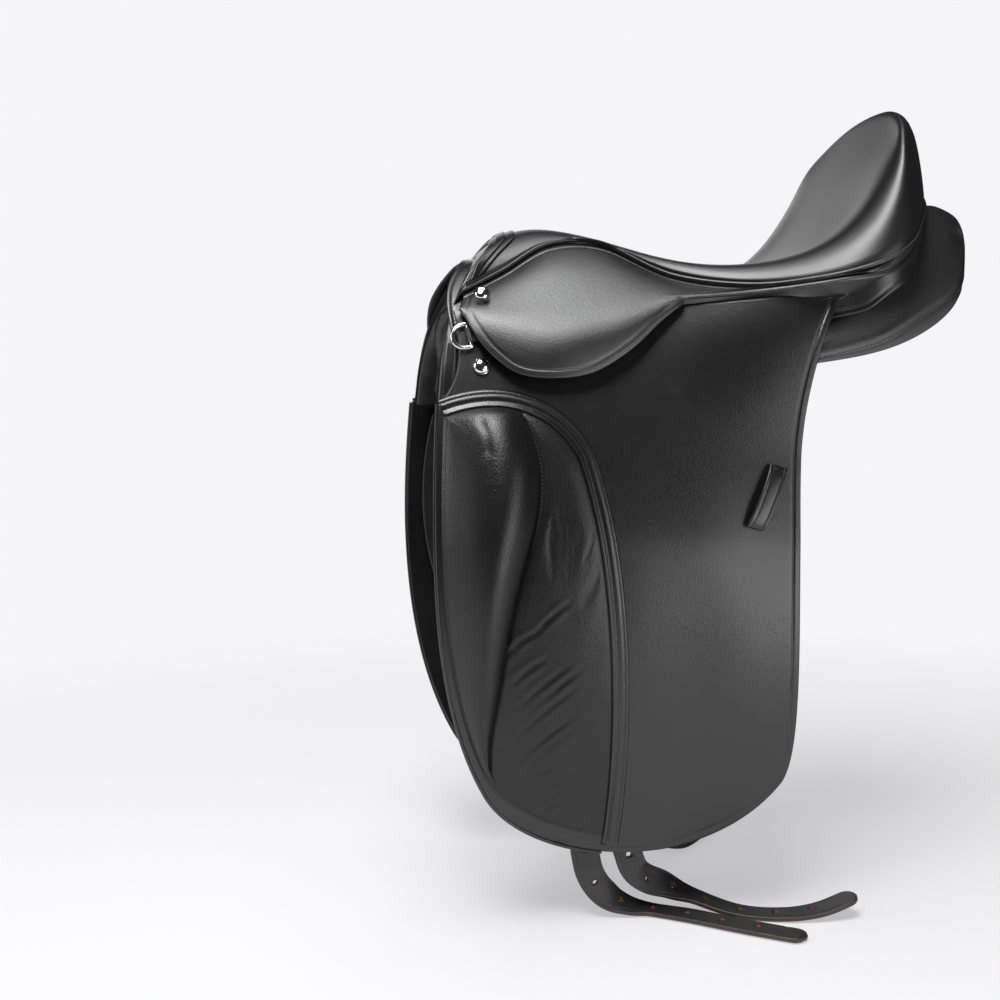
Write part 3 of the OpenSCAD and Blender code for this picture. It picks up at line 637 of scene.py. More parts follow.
@dataclass(frozen=True)
class Wood(Finish):
    """Layered beech."""

    def dress(self, shade: Shade) -> None:
        """Sets up grain along the layers."""
        grain = shade.noise(1, 5, shade.stretched((40, 620, 620)))
        layer = shade.node("ShaderNodeTexWave", {"bands_direction": "Z"},
                           {"Vector": shade.place(), "Scale": 130, "Distortion": 1.5}, "Fac")
        tone = shade.tint((0.42, 0.26, 0.13), (0.62, 0.44, 0.26), grain * 0.7 + layer * 0.3)
        shade.set(Base_Color=tone, Roughness=0.5 + grain * 0.2)
        shade.relief(grain + layer * 0.2, 0.0002)


@dataclass(frozen=True)
class Weave(Finish):
    """Woven tape."""

    dark: tuple = (0.3, 0.27, 0.21)
    light: tuple = (0.66, 0.61, 0.5)

    def dress(self, shade: Shade) -> None:
        """Sets up warp and weft."""
        warp = shade.node("ShaderNodeTexWave", {"bands_direction": "X"}, {"Vector": shade.place(), "Scale": 210},
                          "Fac")
        weft = shade.node("ShaderNodeTexWave", {"bands_direction": "Y"}, {"Vector": shade.place(), "Scale": 210},
                          "Fac")
        over = warp * weft + (1 - warp) * (1 - weft)
        shade.set(Base_Color=shade.tint(self.dark, self.light, over * 0.8 + shade.noise(30) * 0.2), Roughness=0.85)
        shade.relief(over, 0.0004)


SEAT_LEATHER = Leather("seat_leather", gloss=0.37, pore=1250, depth=0.00011, crease=0.2, scuffs=0.15)
FLAP_LEATHER = Leather("flap_leather", gloss=0.29, depth=0.00015)
SKIRT_LEATHER = Leather("skirt_leather", worn=(0.016, 0.0155, 0.015), gloss=0.37, depth=0.00022, crease=0.6,
                        scuffs=0.25, shine=1.0)
GRIP_LEATHER = Leather("grip_leather", tone=(0.007, 0.007, 0.0073), gloss=0.33, pore=900, depth=0.0002, crease=0.6,
                       scuffs=0.1, shine=0.5)
PANEL_LEATHER = Leather("panel_leather", gloss=0.4, pore=1000, depth=0.00014, scuffs=0.1)
STRAP_LEATHER = Leather("strap_leather", tone=(0.012, 0.012, 0.0125), worn=(0.035, 0.033, 0.031), gloss=0.46,
                        depth=0.0002, raw=True)
RAW_LEATHER = RawLeather("raw_leather")
THREAD = Thread("black_thread")
CHROME = Metal("chrome", tone=(0.86, 0.87, 0.89), gloss=0.1, brush=0.03)
BAR_STEEL = Metal("bar_steel", tone=(0.55, 0.55, 0.56), gloss=0.26, brush=0.16)
TREE_STEEL = Metal("tree_steel", tone=(0.4, 0.4, 0.42), gloss=0.36, brush=0.2)
BEECH = Wood("beech")
WEBBING = Weave("webbing")
LINING = Weave("lining", dark=(0.012, 0.012, 0.013), light=(0.04, 0.04, 0.042))


# Node trees for what repeats or follows a path

class NodeTree:
    """A Geometry Nodes tree with named inputs, run on a path and turned into a plain mesh."""

    def __init__(self, name: str, inputs: dict[str, str]) -> None:
        """Makes the tree and its sockets.

        Args:
            name: name of the tree.
            inputs: type of each input socket by name.
        """
        self.tree = bpy.data.node_groups.new(name, "GeometryNodeTree")
        face = self.tree.interface
        face.new_socket("Path", in_out="INPUT", socket_type="NodeSocketGeometry")
        self.ids = {k: face.new_socket(k, in_out="INPUT", socket_type=t).identifier for k, t in inputs.items()}
        face.new_socket("Mesh", in_out="OUTPUT", socket_type="NodeSocketGeometry")
        self.given = self.tree.nodes.new("NodeGroupInput")
        self.build()

    def build(self) -> None:
        """Adds the nodes."""
        raise NotImplementedError

    def add(self, kind: str, values: dict | None = None, **settings: Any) -> bpy.types.Node:
        """Adds a node with its settings, values and links."""
        n = self.tree.nodes.new(kind)
        for k, v in settings.items():
            setattr(n, k, v)
        for k, v in (values or {}).items():
            if isinstance(v, bpy.types.NodeSocket):
                self.tree.links.new(v, n.inputs[k])
            else:
                n.inputs[k].default_value = v
        return n

    def end(self, mesh: bpy.types.NodeSocket) -> None:
        """Closes the tree with real, smooth, dressed geometry."""
        real = self.add("GeometryNodeRealizeInstances", {"Geometry": mesh})
        soft = self.add("GeometryNodeSetShadeSmooth", {"Geometry": real.outputs[0]})
        worn = self.add("GeometryNodeSetMaterial",
                        {"Geometry": soft.outputs[0], "Material": self.given.outputs["Material"]})
        out = self.tree.nodes.new("NodeGroupOutput")
        self.tree.links.new(worn.outputs[0], out.inputs[0])

    def run(self, name: str, paths: Sequence[tuple[Array, Array]], closed: bool = False,
            **values: Any) -> bpy.types.Object:
        """Runs the tree.

        Args:
            name: name of the finished piece.
            paths: lines of points in millimetres, each with its directions square to the surface.
            closed: whether the lines close on themselves.
            values: values of the named inputs; an underscore stands for a space.

        Returns:
            The finished piece.
        """
        mesh = bpy.data.meshes.new(name)
        points = np.concatenate([p for p, _ in paths]) * MM
        ups = np.concatenate([u for _, u in paths])
        edges, at = [], 0
        for p, _ in paths:
            edges += [(at + k, at + k + 1) for k in range(len(p) - 1)] + ([(at + len(p) - 1, at)] if closed else [])
            at += len(p)
        mesh.from_pydata(points.tolist(), edges, [])
        mesh.attributes.new("up", "FLOAT_VECTOR", "POINT").data.foreach_set("vector", ups.astype(np.float32).ravel())
        obj = bpy.data.objects.new(name, mesh)
        bpy.context.scene.collection.objects.link(obj)
        m = obj.modifiers.new("nodes", "NODES")
        m.node_group = self.tree
        for k, v in values.items():
            m[self.ids[k.replace("_", " ")]] = v
        plain_mesh(obj)
        return obj


class Stitching(NodeTree):
    """Stitches along a path, each slightly turned."""

    def __init__(self) -> None:
        """Names the inputs."""
        super().__init__("stitching", {"Pitch": "NodeSocketFloat", "Length": "NodeSocketFloat",
                                       "Thread": "NodeSocketFloat",
                                       "Slant": "NodeSocketFloat", "Seed": "NodeSocketInt",
                                       "Material": "NodeSocketMaterial"})

    def build(self) -> None:
        """Places a short thread at every pitch."""
        g = self.given.outputs
        curve = self.add("GeometryNodeMeshToCurve", {"Mesh": g["Path"]})
        at = self.add("GeometryNodeCurveToPoints", {"Curve": curve.outputs[0], "Length": g["Pitch"]}, mode="LENGTH")
        up = self.add("GeometryNodeInputNamedAttribute", {"Name": "up"}, data_type="FLOAT_VECTOR")
        face = self.add("FunctionNodeAxesToRotation",
                        {"Primary Axis": up.outputs[0], "Secondary Axis": at.outputs["Tangent"]},
                        primary_axis="Z", secondary_axis="X")
        loose = self.add("FunctionNodeRandomValue", {"Seed": g["Seed"]}, data_type="FLOAT")
        loose.inputs[2].default_value, loose.inputs[3].default_value = -0.05, 0.05
        turn = self.add("ShaderNodeMath", {0: g["Slant"], 1: loose.outputs[1]}, operation="ADD")
        spin = self.add("ShaderNodeCombineXYZ", {"Z": turn.outputs[0]})
        lean = self.add("FunctionNodeEulerToRotation", {0: spin.outputs[0]})
        full = self.add("FunctionNodeRotateRotation", {0: face.outputs[0], 1: lean.outputs[0]},
                        rotation_space="LOCAL")
        half = self.add("ShaderNodeMath", {0: g["Length"], 1: 0.5}, operation="MULTIPLY")
        size = self.add("ShaderNodeCombineXYZ", {"X": half.outputs[0], "Y": g["Thread"], "Z": g["Thread"]})
        ball = self.add("GeometryNodeMeshUVSphere", {"Segments": 6, "Rings": 5, "Radius": 1.0})
        long = self.add("GeometryNodeTransform", {"Geometry": ball.outputs[0], "Rotation": (0, math.pi / 2, 0)})
        thread = self.add("GeometryNodeTransform", {"Geometry": long.outputs[0], "Scale": size.outputs[0]})
        many = self.add("GeometryNodeInstanceOnPoints", {"Points": at.outputs[0], "Instance": thread.outputs[0],
                                                         "Rotation": full.outputs[0]})
        self.end(many.outputs[0])

    def sew(self, name: str, paths: Sequence[tuple[Array, Array]], pitch: float = 3.6,
            seed: int = 3) -> bpy.types.Object:
        """Sews along paths, with the pitch in millimetres."""
        return self.run(name, paths, Pitch=pitch * MM, Length=pitch * 0.8 * MM, Thread=0.42 * MM, Slant=0.16,
                        Seed=seed,
                        Material=THREAD.material())


class Piping(NodeTree):
    """A round cord along a path."""

    def __init__(self) -> None:
        """Names the inputs."""
        super().__init__("piping", {"Step": "NodeSocketFloat", "Radius": "NodeSocketFloat",
                                    "Material": "NodeSocketMaterial"})

    def build(self) -> None:
        """Sweeps a circle along the path."""
        g = self.given.outputs
        curve = self.add("GeometryNodeMeshToCurve", {"Mesh": g["Path"]})
        even = self.add("GeometryNodeResampleCurve", {"Curve": curve.outputs[0], "Length": g["Step"]}, mode="LENGTH")
        ring = self.add("GeometryNodeCurvePrimitiveCircle", {"Resolution": 12, "Radius": g["Radius"]}, mode="RADIUS")
        tube = self.add("GeometryNodeCurveToMesh",
                        {"Curve": even.outputs[0], "Profile Curve": ring.outputs[0], "Fill Caps": True})
        self.end(tube.outputs[0])

    def lay(self, name: str, paths: Sequence[Array], radius: float, finish: Finish, step: float = 3.0,
            closed: bool = False) -> bpy.types.Object:
        """Lays cords of a radius in millimetres along paths."""
        return self.run(name, [(p, np.zeros_like(p)) for p in paths], closed, Step=step * MM, Radius=radius * MM,
                        Material=finish.material())


class Punches(NodeTree):
    """Round punches stood on points, for cutting holes."""

    def __init__(self) -> None:
        """Names the inputs."""
        super().__init__("punches", {"Radius": "NodeSocketFloat", "Depth": "NodeSocketFloat",
                                     "Material": "NodeSocketMaterial"})

    def build(self) -> None:
        """Stands a cylinder on each point."""
        g = self.given.outputs
        up = self.add("GeometryNodeInputNamedAttribute", {"Name": "up"}, data_type="FLOAT_VECTOR")
        face = self.add("FunctionNodeAxesToRotation", {"Primary Axis": up.outputs[0], "Secondary Axis": (1, 0, 0)},
                        primary_axis="Z", secondary_axis="X")
        rod = self.add("GeometryNodeMeshCylinder", {"Vertices": 20, "Radius": g["Radius"], "Depth": g["Depth"]})
        many = self.add("GeometryNodeInstanceOnPoints",
                        {"Points": g["Path"], "Instance": rod.outputs[0], "Rotation": face.outputs[0]})
        self.end(many.outputs[0])


# Shape of the saddle, in millimetres

@dataclass(frozen=True)
class Form:
    """Sizes of the saddle and the surfaces that its pieces share."""

    seat_low: float = 90
    seat_front: float = 214
    seat_back: float = 150
    pommel_rise: float = 36
    cantle_rise: float = 153
    waist_half: float = 50
    seat_half: float = 148
    flap_front: float = 272
    flap_rear: float = 65
    flap_drop: float = 418
    flap_half: float = 141
    flap_t: float = 4
    strap_room: float = 4
    strap_back: float = 2.6
    sweat_t: float = 3
    sweat_drop: float = 332
    block_h: float = 27
    welt_r: float = 1.8
    lay: float = 0.4
    billet_t: float = 4
    head_t: float = 12
    plate_t: float = 3
    gullet_half: float = 30
    panel_top: float = 33
    panel_back: float = 204

    @property
    def pommel_z(self) -> float:
        """Height of the pommel."""
        return self.seat_low + self.pommel_rise

    @property
    def sweat_in(self) -> float:
        """How far in from the flap's outer face the sweat flap lies."""
        return self.flap_t + 2 * self.strap_room + self.billet_t + self.strap_back

    @property
    def panel_in(self) -> float:
        """How far in from the flap's outer face the cushion lies."""
        return self.sweat_in + self.sweat_t + 1

    @cached_property
    def mid_line(self) -> Array:
        """Seat along its middle."""
        f, b, z, p, c = self.seat_front, self.seat_back, self.seat_low, self.pommel_rise, self.cantle_rise
        return np.array([[-f, 0, z + 0.64 * p], [-0.9 * f, 0, z + 0.9 * p], [-0.76 * f, 0, z + p],
                         [-0.54 * f, 0, z + 0.6 * p], [-0.28 * f, 0, z + 0.09 * p], [0, 0, z],
                         [0.37 * b, 0, z + 0.06 * c],
                         [0.655 * b, 0, z + 0.3 * c], [0.865 * b, 0, z + 0.69 * c], [b, 0, z + c]])

    @cached_property
    def rim_line(self) -> Array:
        """Seat along its rim."""
        f, b, z, p, c = self.seat_front, self.seat_back, self.seat_low, self.pommel_rise, self.cantle_rise
        w, s, t = self.waist_half, self.seat_half, self.pommel_z
        return np.array([[-f - 10, w + 6, t - 26], [-f + 17, w + 1, t - 13], [-0.77 * f, w - 2, t - 4],
                         [-0.55 * f, w + 3, z + 0.59 * p], [-0.29 * f, w + 23, z - 2], [-4, 0.7 * s, z - 4],
                         [46, 0.885 * s, z + 6], [82, 0.985 * s, z + 32], [104, s, z + 0.41 * c],
                         [b - 33, s - 8, z + 0.57 * c]])

    @cached_property
    def welt_line(self) -> Array:
        """Seat along its piping."""
        f, b, z, p = self.seat_front, self.seat_back, self.seat_low, self.pommel_rise
        w, s, t = self.waist_half, self.seat_half, self.pommel_z
        return np.array([[-f - 34, w + 36, t - 61], [-f + 2, w + 22, t - 42], [-0.79 * f, w + 9, t - 17],
                         [-0.57 * f, w + 10, z + 0.55 * p], [-0.3 * f, w + 31, z - 8], [-4, 0.76 * s, z - 18],
                         [44, 0.935 * s, z - 14], [80, 1.025 * s, z - 6], [108, 1.03 * s, z + 5],
                         [b - 22, 0.97 * s, z + 18]])

    def dish(self, u: Array, v: Array) -> Array:
        """A point of the seat, by its share of the length and of the half width."""
        c, r = thru(self.mid_line, u), thru(self.rim_line, u)
        k = np.abs(v) ** (2 + 0.5 * ease((u - 0.7) / 0.3))
        return np.stack([mix(c[..., 0], r[..., 0], k), v * r[..., 1], mix(c[..., 2], r[..., 2], k)], -1)

    def welt_at(self, u: Array, v: Array) -> Array:
        """A point of the piping line."""
        u, v = np.broadcast_arrays(np.asarray(u, float), np.asarray(v, float))
        one = np.ones_like(v)
        side = thru(self.welt_line, u) * np.stack([one, v, one], -1)
        top, a = self.welt_line[-1], np.abs(v)
        back = np.stack([top[0] + 51 * (1 - a ** 2.2), v * top[1], top[2] + 58 * (1 - a * a)], -1)
        return np.where(((u < 1) | (a >= 1))[..., None], side, back)

    def wall(self, u: Array, v: Array, t: Any) -> Array:
        """A point of the wall between the rim and the piping."""
        s, r = np.sin(np.pi * np.asarray(t)) + 0 * u, ease((u - 0.92) / 0.08)
        p = self.dish(u, v)
        return mix(p, self.welt_at(u, v), np.asarray(t)[..., None] if np.ndim(t) else t) \
            + np.stack([6 * r * s, v * 5 * s, (2 + r) * s], -1)

    def below(self, u: Array, v: Array, d: Any) -> Array:
        """A point under the piping line, along the fall of the wall."""
        u, v = np.broadcast_arrays(np.asarray(u, float), np.asarray(v, float))
        on = self.welt_at(np.minimum(u + 0.02, 0.999), v) - self.welt_at(np.maximum(u - 0.02, 0), v)
        one = np.ones_like(u)
        across = self.welt_at(one, np.minimum(v + 0.02, 1)) - self.welt_at(one, np.maximum(v - 0.02, -1))
        w = unit(np.where((u < 1)[..., None], on, across))
        fall = self.welt_at(u, v) - self.wall(u, v, 0.7)
        down = unit(fall - (fall * w).sum(-1, keepdims=True) * w)
        return self.welt_at(u, v) + np.asarray(d)[..., None] * down

    def half_at(self, x: Array, z: Array) -> Array:
        """Half width over the outer face of the flaps."""
        k = z + 145
        return (self.flap_half - np.where(k > 0, 0.01465 * np.abs(k) ** 1.5, 0.00187 * np.abs(k) ** 1.8)
                + 16 * np.sin(np.pi / 2 * np.clip((x + 275) / 300, 0,
                                                  1)) + 22 * ease((x + 120) / 170) * ease((z + 80) / 130))

    def lay_on(self, p: Array, d: Any = 0.0) -> Array:
        """A point over the outer face of the left flap."""
        p = np.asarray(p, float)
        return np.stack([p[..., 0], -(self.half_at(p[..., 0], p[..., 1]) + d), p[..., 1]], -1)

    def fold(self, t: Any) -> Array:
        """A point of the flap's fold."""
        return mix(np.array([-self.flap_front, -31.0]), np.array([self.flap_rear, 56.0]),
                   np.asarray(t, float)[..., None])

    def patch(self, edges: dict[str, Sequence], u: Array, v: Array) -> Array:
        """A point inside four edges that meet at their corners."""
        t, f = np.asarray(edges["top"], float), np.asarray(edges["foot"], float)
        u1, v1 = u[..., None], v[..., None]
        return (mix(bend(t, u), bend(f, u), v1) + mix(bend(edges["front"], v), bend(edges["rear"], v), u1)
                - mix(mix(t[0], t[3], u1), mix(f[0], f[3], u1), v1))

    @cached_property
    def flap_edges(self) -> dict[str, Array]:
        """Outline of the flap below its fold."""
        a, b = (-self.flap_front + 40, -self.flap_drop + 58), (25, -self.flap_drop + 61)
        return {"top": self.fold(np.linspace(0, 1, 4)),
                "foot": np.array([a, (-196, -self.flap_drop - 9), (-38, -self.flap_drop - 31), b], float),
                "front": np.array([self.fold(0.0), (-self.flap_front - 8, -150), (-self.flap_front - 7, -275), a],
                                  float),
                "rear": np.array([self.fold(1.0), (-8, -70), (52, -310), b], float)}

    @cached_property
    def head_edges(self) -> dict[str, Array]:
        """Outline of the flap above its fold."""
        a, b = np.array([-self.flap_front + 16, 46.0]), np.array([self.flap_rear + 22, 68.0])
        rear = self.fold(1.0)
        return {"top": np.array([a, (-190, 52), (-60, 46), b], float), "foot": self.fold(np.linspace(0, 1, 4)),
                "front": np.array([a, (-self.flap_front + 20, 26), (-self.flap_front + 24, -10), self.fold(0.0)],
                                  float),
                "rear": np.array([b, mix(b, rear, 1 / 3), mix(b, rear, 2 / 3), rear])}

    @cached_property
    def grip_edges(self) -> dict[str, Array]:
        """Outline of the knee area in front of the double seam."""
        f, d = self.flap_front, self.flap_drop
        a, b, c, e = (-f + 5, -41), (-158, -76), (-129, -d + 17), (-f + 45, -d + 64)
        return {"top": np.array([a, (-f + 48, -24), (-178, -34), b], float),
                "foot": np.array([e, (-203, -d + 38), (-168, -d + 24), c], float),
                "front": np.array([a, (-f - 3, -150), (-f - 1, -268), e], float),
                "rear": np.array([b, (-126, -180), (-124, -330), c], float)}

    def block_edge(self, v: Array) -> Array:
        """Share of the knee area's width that the block takes."""
        return thru([0.5, 0.58, 0.55, 0.47, 0.4, 0.34, 0.28, 0.2, 0.12], v / 0.9)

    def block_rise(self, a: Array, v: Array) -> Array:
        """Height of the block, by the share of its width and of its length."""
        across = np.abs(np.sin(np.pi * np.clip(a, 0, 1) ** 1.35)) ** 0.8
        along = np.abs(np.sin(np.pi * np.clip(v / 0.97, 0, 1) ** 0.62)) ** 0.75
        return self.block_h * across * along * mix(1, 0.55, v)

    def arch_at(self, t: Array) -> Array:
        """Middle line of the tree's head, on the left."""
        z = self.pommel_z
        return thru([[-206, 0, z - 40], [-216, -32, z - 46], [-229, -60, z - 64], [-240, -82, 33], [-246, -93, 2],
                     [-249, -99, -26]], t)

    def arch_line(self, d: float, x: float, t0: float, t1: float, n: int) -> tuple[Array, Array]:
        """A line round the head, and the directions that point out of it there."""
        t = np.linspace(t0, t1, n)
        a = self.arch_at(np.minimum(t + 0.03, 1)) - self.arch_at(np.maximum(t - 0.03, 0))
        out = unit(np.cross(np.array([-1.0, 0, 0]), a))
        p = self.arch_at(t) + d * out
        p[:, 0] += x + (17 * ease((t - 0.4) / 0.4) if x < 0 else 0)
        return both(p), both(out)


def both(path: Array) -> Array:
    """A line from the middle to the left, continued over to the right."""
    return np.concatenate([path[:0:-1], path * [1, -1, 1]])


FORM = Form()


# Sub-assemblies

@dataclass
class Tools:
    """The node trees, made once."""

    stitching: Stitching = field(default_factory=Stitching)
    piping: Piping = field(default_factory=Piping)
    punches: Punches = field(default_factory=Punches)


@dataclass
class Seat:
    """Seat leather over its foam, its piping and the band round the cantle."""

    tools: Tools
    rows: int = 120
    cols: int = 72
    wall_rows: int = 12
    cover_t: float = 2.5
    band_h: float = 26
    band_t: float = 4

    def edge(self) -> tuple[Array, Array]:
        """The rim, back along the left, round the cantle and forward on the right."""
        r, c = self.rows, self.cols
        along = np.arange(r + 1) / r
        across = -1 + 2 * np.arange(1, c) / c
        return (np.concatenate([along, np.ones(c - 1), along[::-1]]),
                np.concatenate([-np.ones(r + 1), across, np.ones(r + 1)]))

    def leather(self) -> bpy.types.Object:
        """The dished top and the wall that falls to the piping."""
        r, c = self.rows, self.cols
        u, v = np.meshgrid(np.arange(r + 1) / r, -1 + 2 * np.arange(c + 1) / c, indexing="ij")
        top = FORM.dish(u, v).reshape(-1, 3)
        eu, ev = self.edge()
        ring = np.concatenate([np.arange(r + 1) * (c + 1), r * (c + 1) + np.arange(1, c),
                               np.arange(r, -1, -1) * (c + 1) + c])
        walls = [FORM.wall(eu, ev, k / self.wall_rows) for k in range(1, self.wall_rows + 1)]
        points = np.concatenate([top, *walls])
        ne = len(eu)
        ids = np.concatenate([ring[None], len(top) + np.arange(self.wall_rows * ne).reshape(-1, ne)])
        quads = np.concatenate([grid_quads(r + 1, c + 1),
                                np.stack([ids[:-1, :-1], ids[:-1, 1:], ids[1:, 1:], ids[1:, :-1]],
                                         -1).reshape(-1, 4)])
        rim = top[ring]
        near = reach_line(points, rim)
        n = normals_of(points, quads)
        n *= np.sign((n @ [0, 0, 1.0]).mean())
        rear = ease((points[:, 2] - 160) / 45) * ease((points[:, 0] - 90) / 30)
        hold = np.ones(len(points))
        hold[ids[-1]] = 0
        hold[:c + 1] = 0
        hold[ids[:, 0]] = hold[ids[:, -1]] = 0
        points = points + n * (mix(2.4, 2.0, rear) * bump(near, mix(22, 8, rear)) * hold)[:, None]
        points = relaxed(points, quads, 0.7 * hold * bump(near, 40) * (1 - 0.95 * rear), 240)
        points = relaxed(points, quads, 0.6 * hold * bump(near, 7), 7)
        p, f, _ = shell(points, quads, self.cover_t, (0, 0, 1), 1.1)
        return make_piece("seat", p, f, SEAT_LEATHER)

    def piping(self) -> bpy.types.Object:
        """The piping under the wall."""
        u, v = self.edge()
        line = FORM.below(u, v, np.full(len(u), FORM.welt_r + FORM.lay))
        return self.tools.piping.lay("seat_piping", [line], FORM.welt_r, SEAT_LEATHER)

    def band(self) -> tuple[bpy.types.Object, bpy.types.Object]:
        """The band round the back of the cantle and its stitching."""
        side = np.linspace(0.68, 1, 37)[:-1]
        back = np.linspace(-1, 1, 141)
        u = np.concatenate([side, np.ones(141), side[::-1]])
        v = np.concatenate([-np.ones(36), back, np.ones(36)])
        t = np.array([0, 0.01, 0.03, 0.06, 0.1, 0.14, 0.18, 0.23, 0.3, 0.4, 0.5, 0.6, 0.7, 0.77, 0.82, 0.86, 0.9,
                      0.94, 0.97, 0.99, 1])
        start = 2 * FORM.welt_r + 2 * FORM.lay + 0.2
        ramp = np.where(u < 1, 0, ease((1 - np.abs(v)) * 9))
        rows = [FORM.below(u, v, np.full(len(u), start) + (self.band_h + 9 * ease((0.86 - u) / 0.1)) * k)
                + np.stack([3 * np.sin(np.pi * k) * ramp, 0 * u, 0 * u], -1) for k in t]
        grid = np.stack(rows)
        m, n = grid.shape[:2]
        out = normals_of(grid.reshape(-1, 3), grid_quads(m, n)).reshape(m, n, 3)
        out *= np.sign((out @ [1, 0, 0.3]).mean())
        deep = np.where(u < 1, 3.4 + 11 * ease((0.88 - u) / 0.16), 3.4 * ease((np.abs(v) - 0.35) / 0.2))
        grid = grid - out * deep[None, :, None]
        k = np.arange(n)
        turned = np.maximum(bump(k - 36, 12), bump(k - n + 37, 12))
        grid = np.stack([eased(row, turned, 60) for row in grid])
        p, f, _ = shell(grid.reshape(-1, 3), grid_quads(m, n), self.band_t, (1, 0, 0.3), 1.3,
                        [Groove(grid[-1], 4.2, 0.8, 0.8), Groove(grid[0], 4.2, 0.8, 0.8)])
        obj = make_piece("cantle_binding", p, f, SEAT_LEATHER)
        paths = [drape(mix(grid[0], grid[-1], k)[3:-3], obj, 0.1) for k in (0.17, 0.84)]
        return obj, self.tools.stitching.sew("cantle_stitches", paths)

    def build(self) -> bpy.types.Object:
        """Makes and places the pieces, and hands back the seat leather."""
        seat = settle(self.leather(), "saddle", ["seat_cover", "seat_foam"])
        settle(self.piping(), "saddle", ["seat_welt"])
        band, stitches = self.band()
        settle(band, "saddle", ["cantle_band"])
        settle(stitches, "saddle")
        return seat


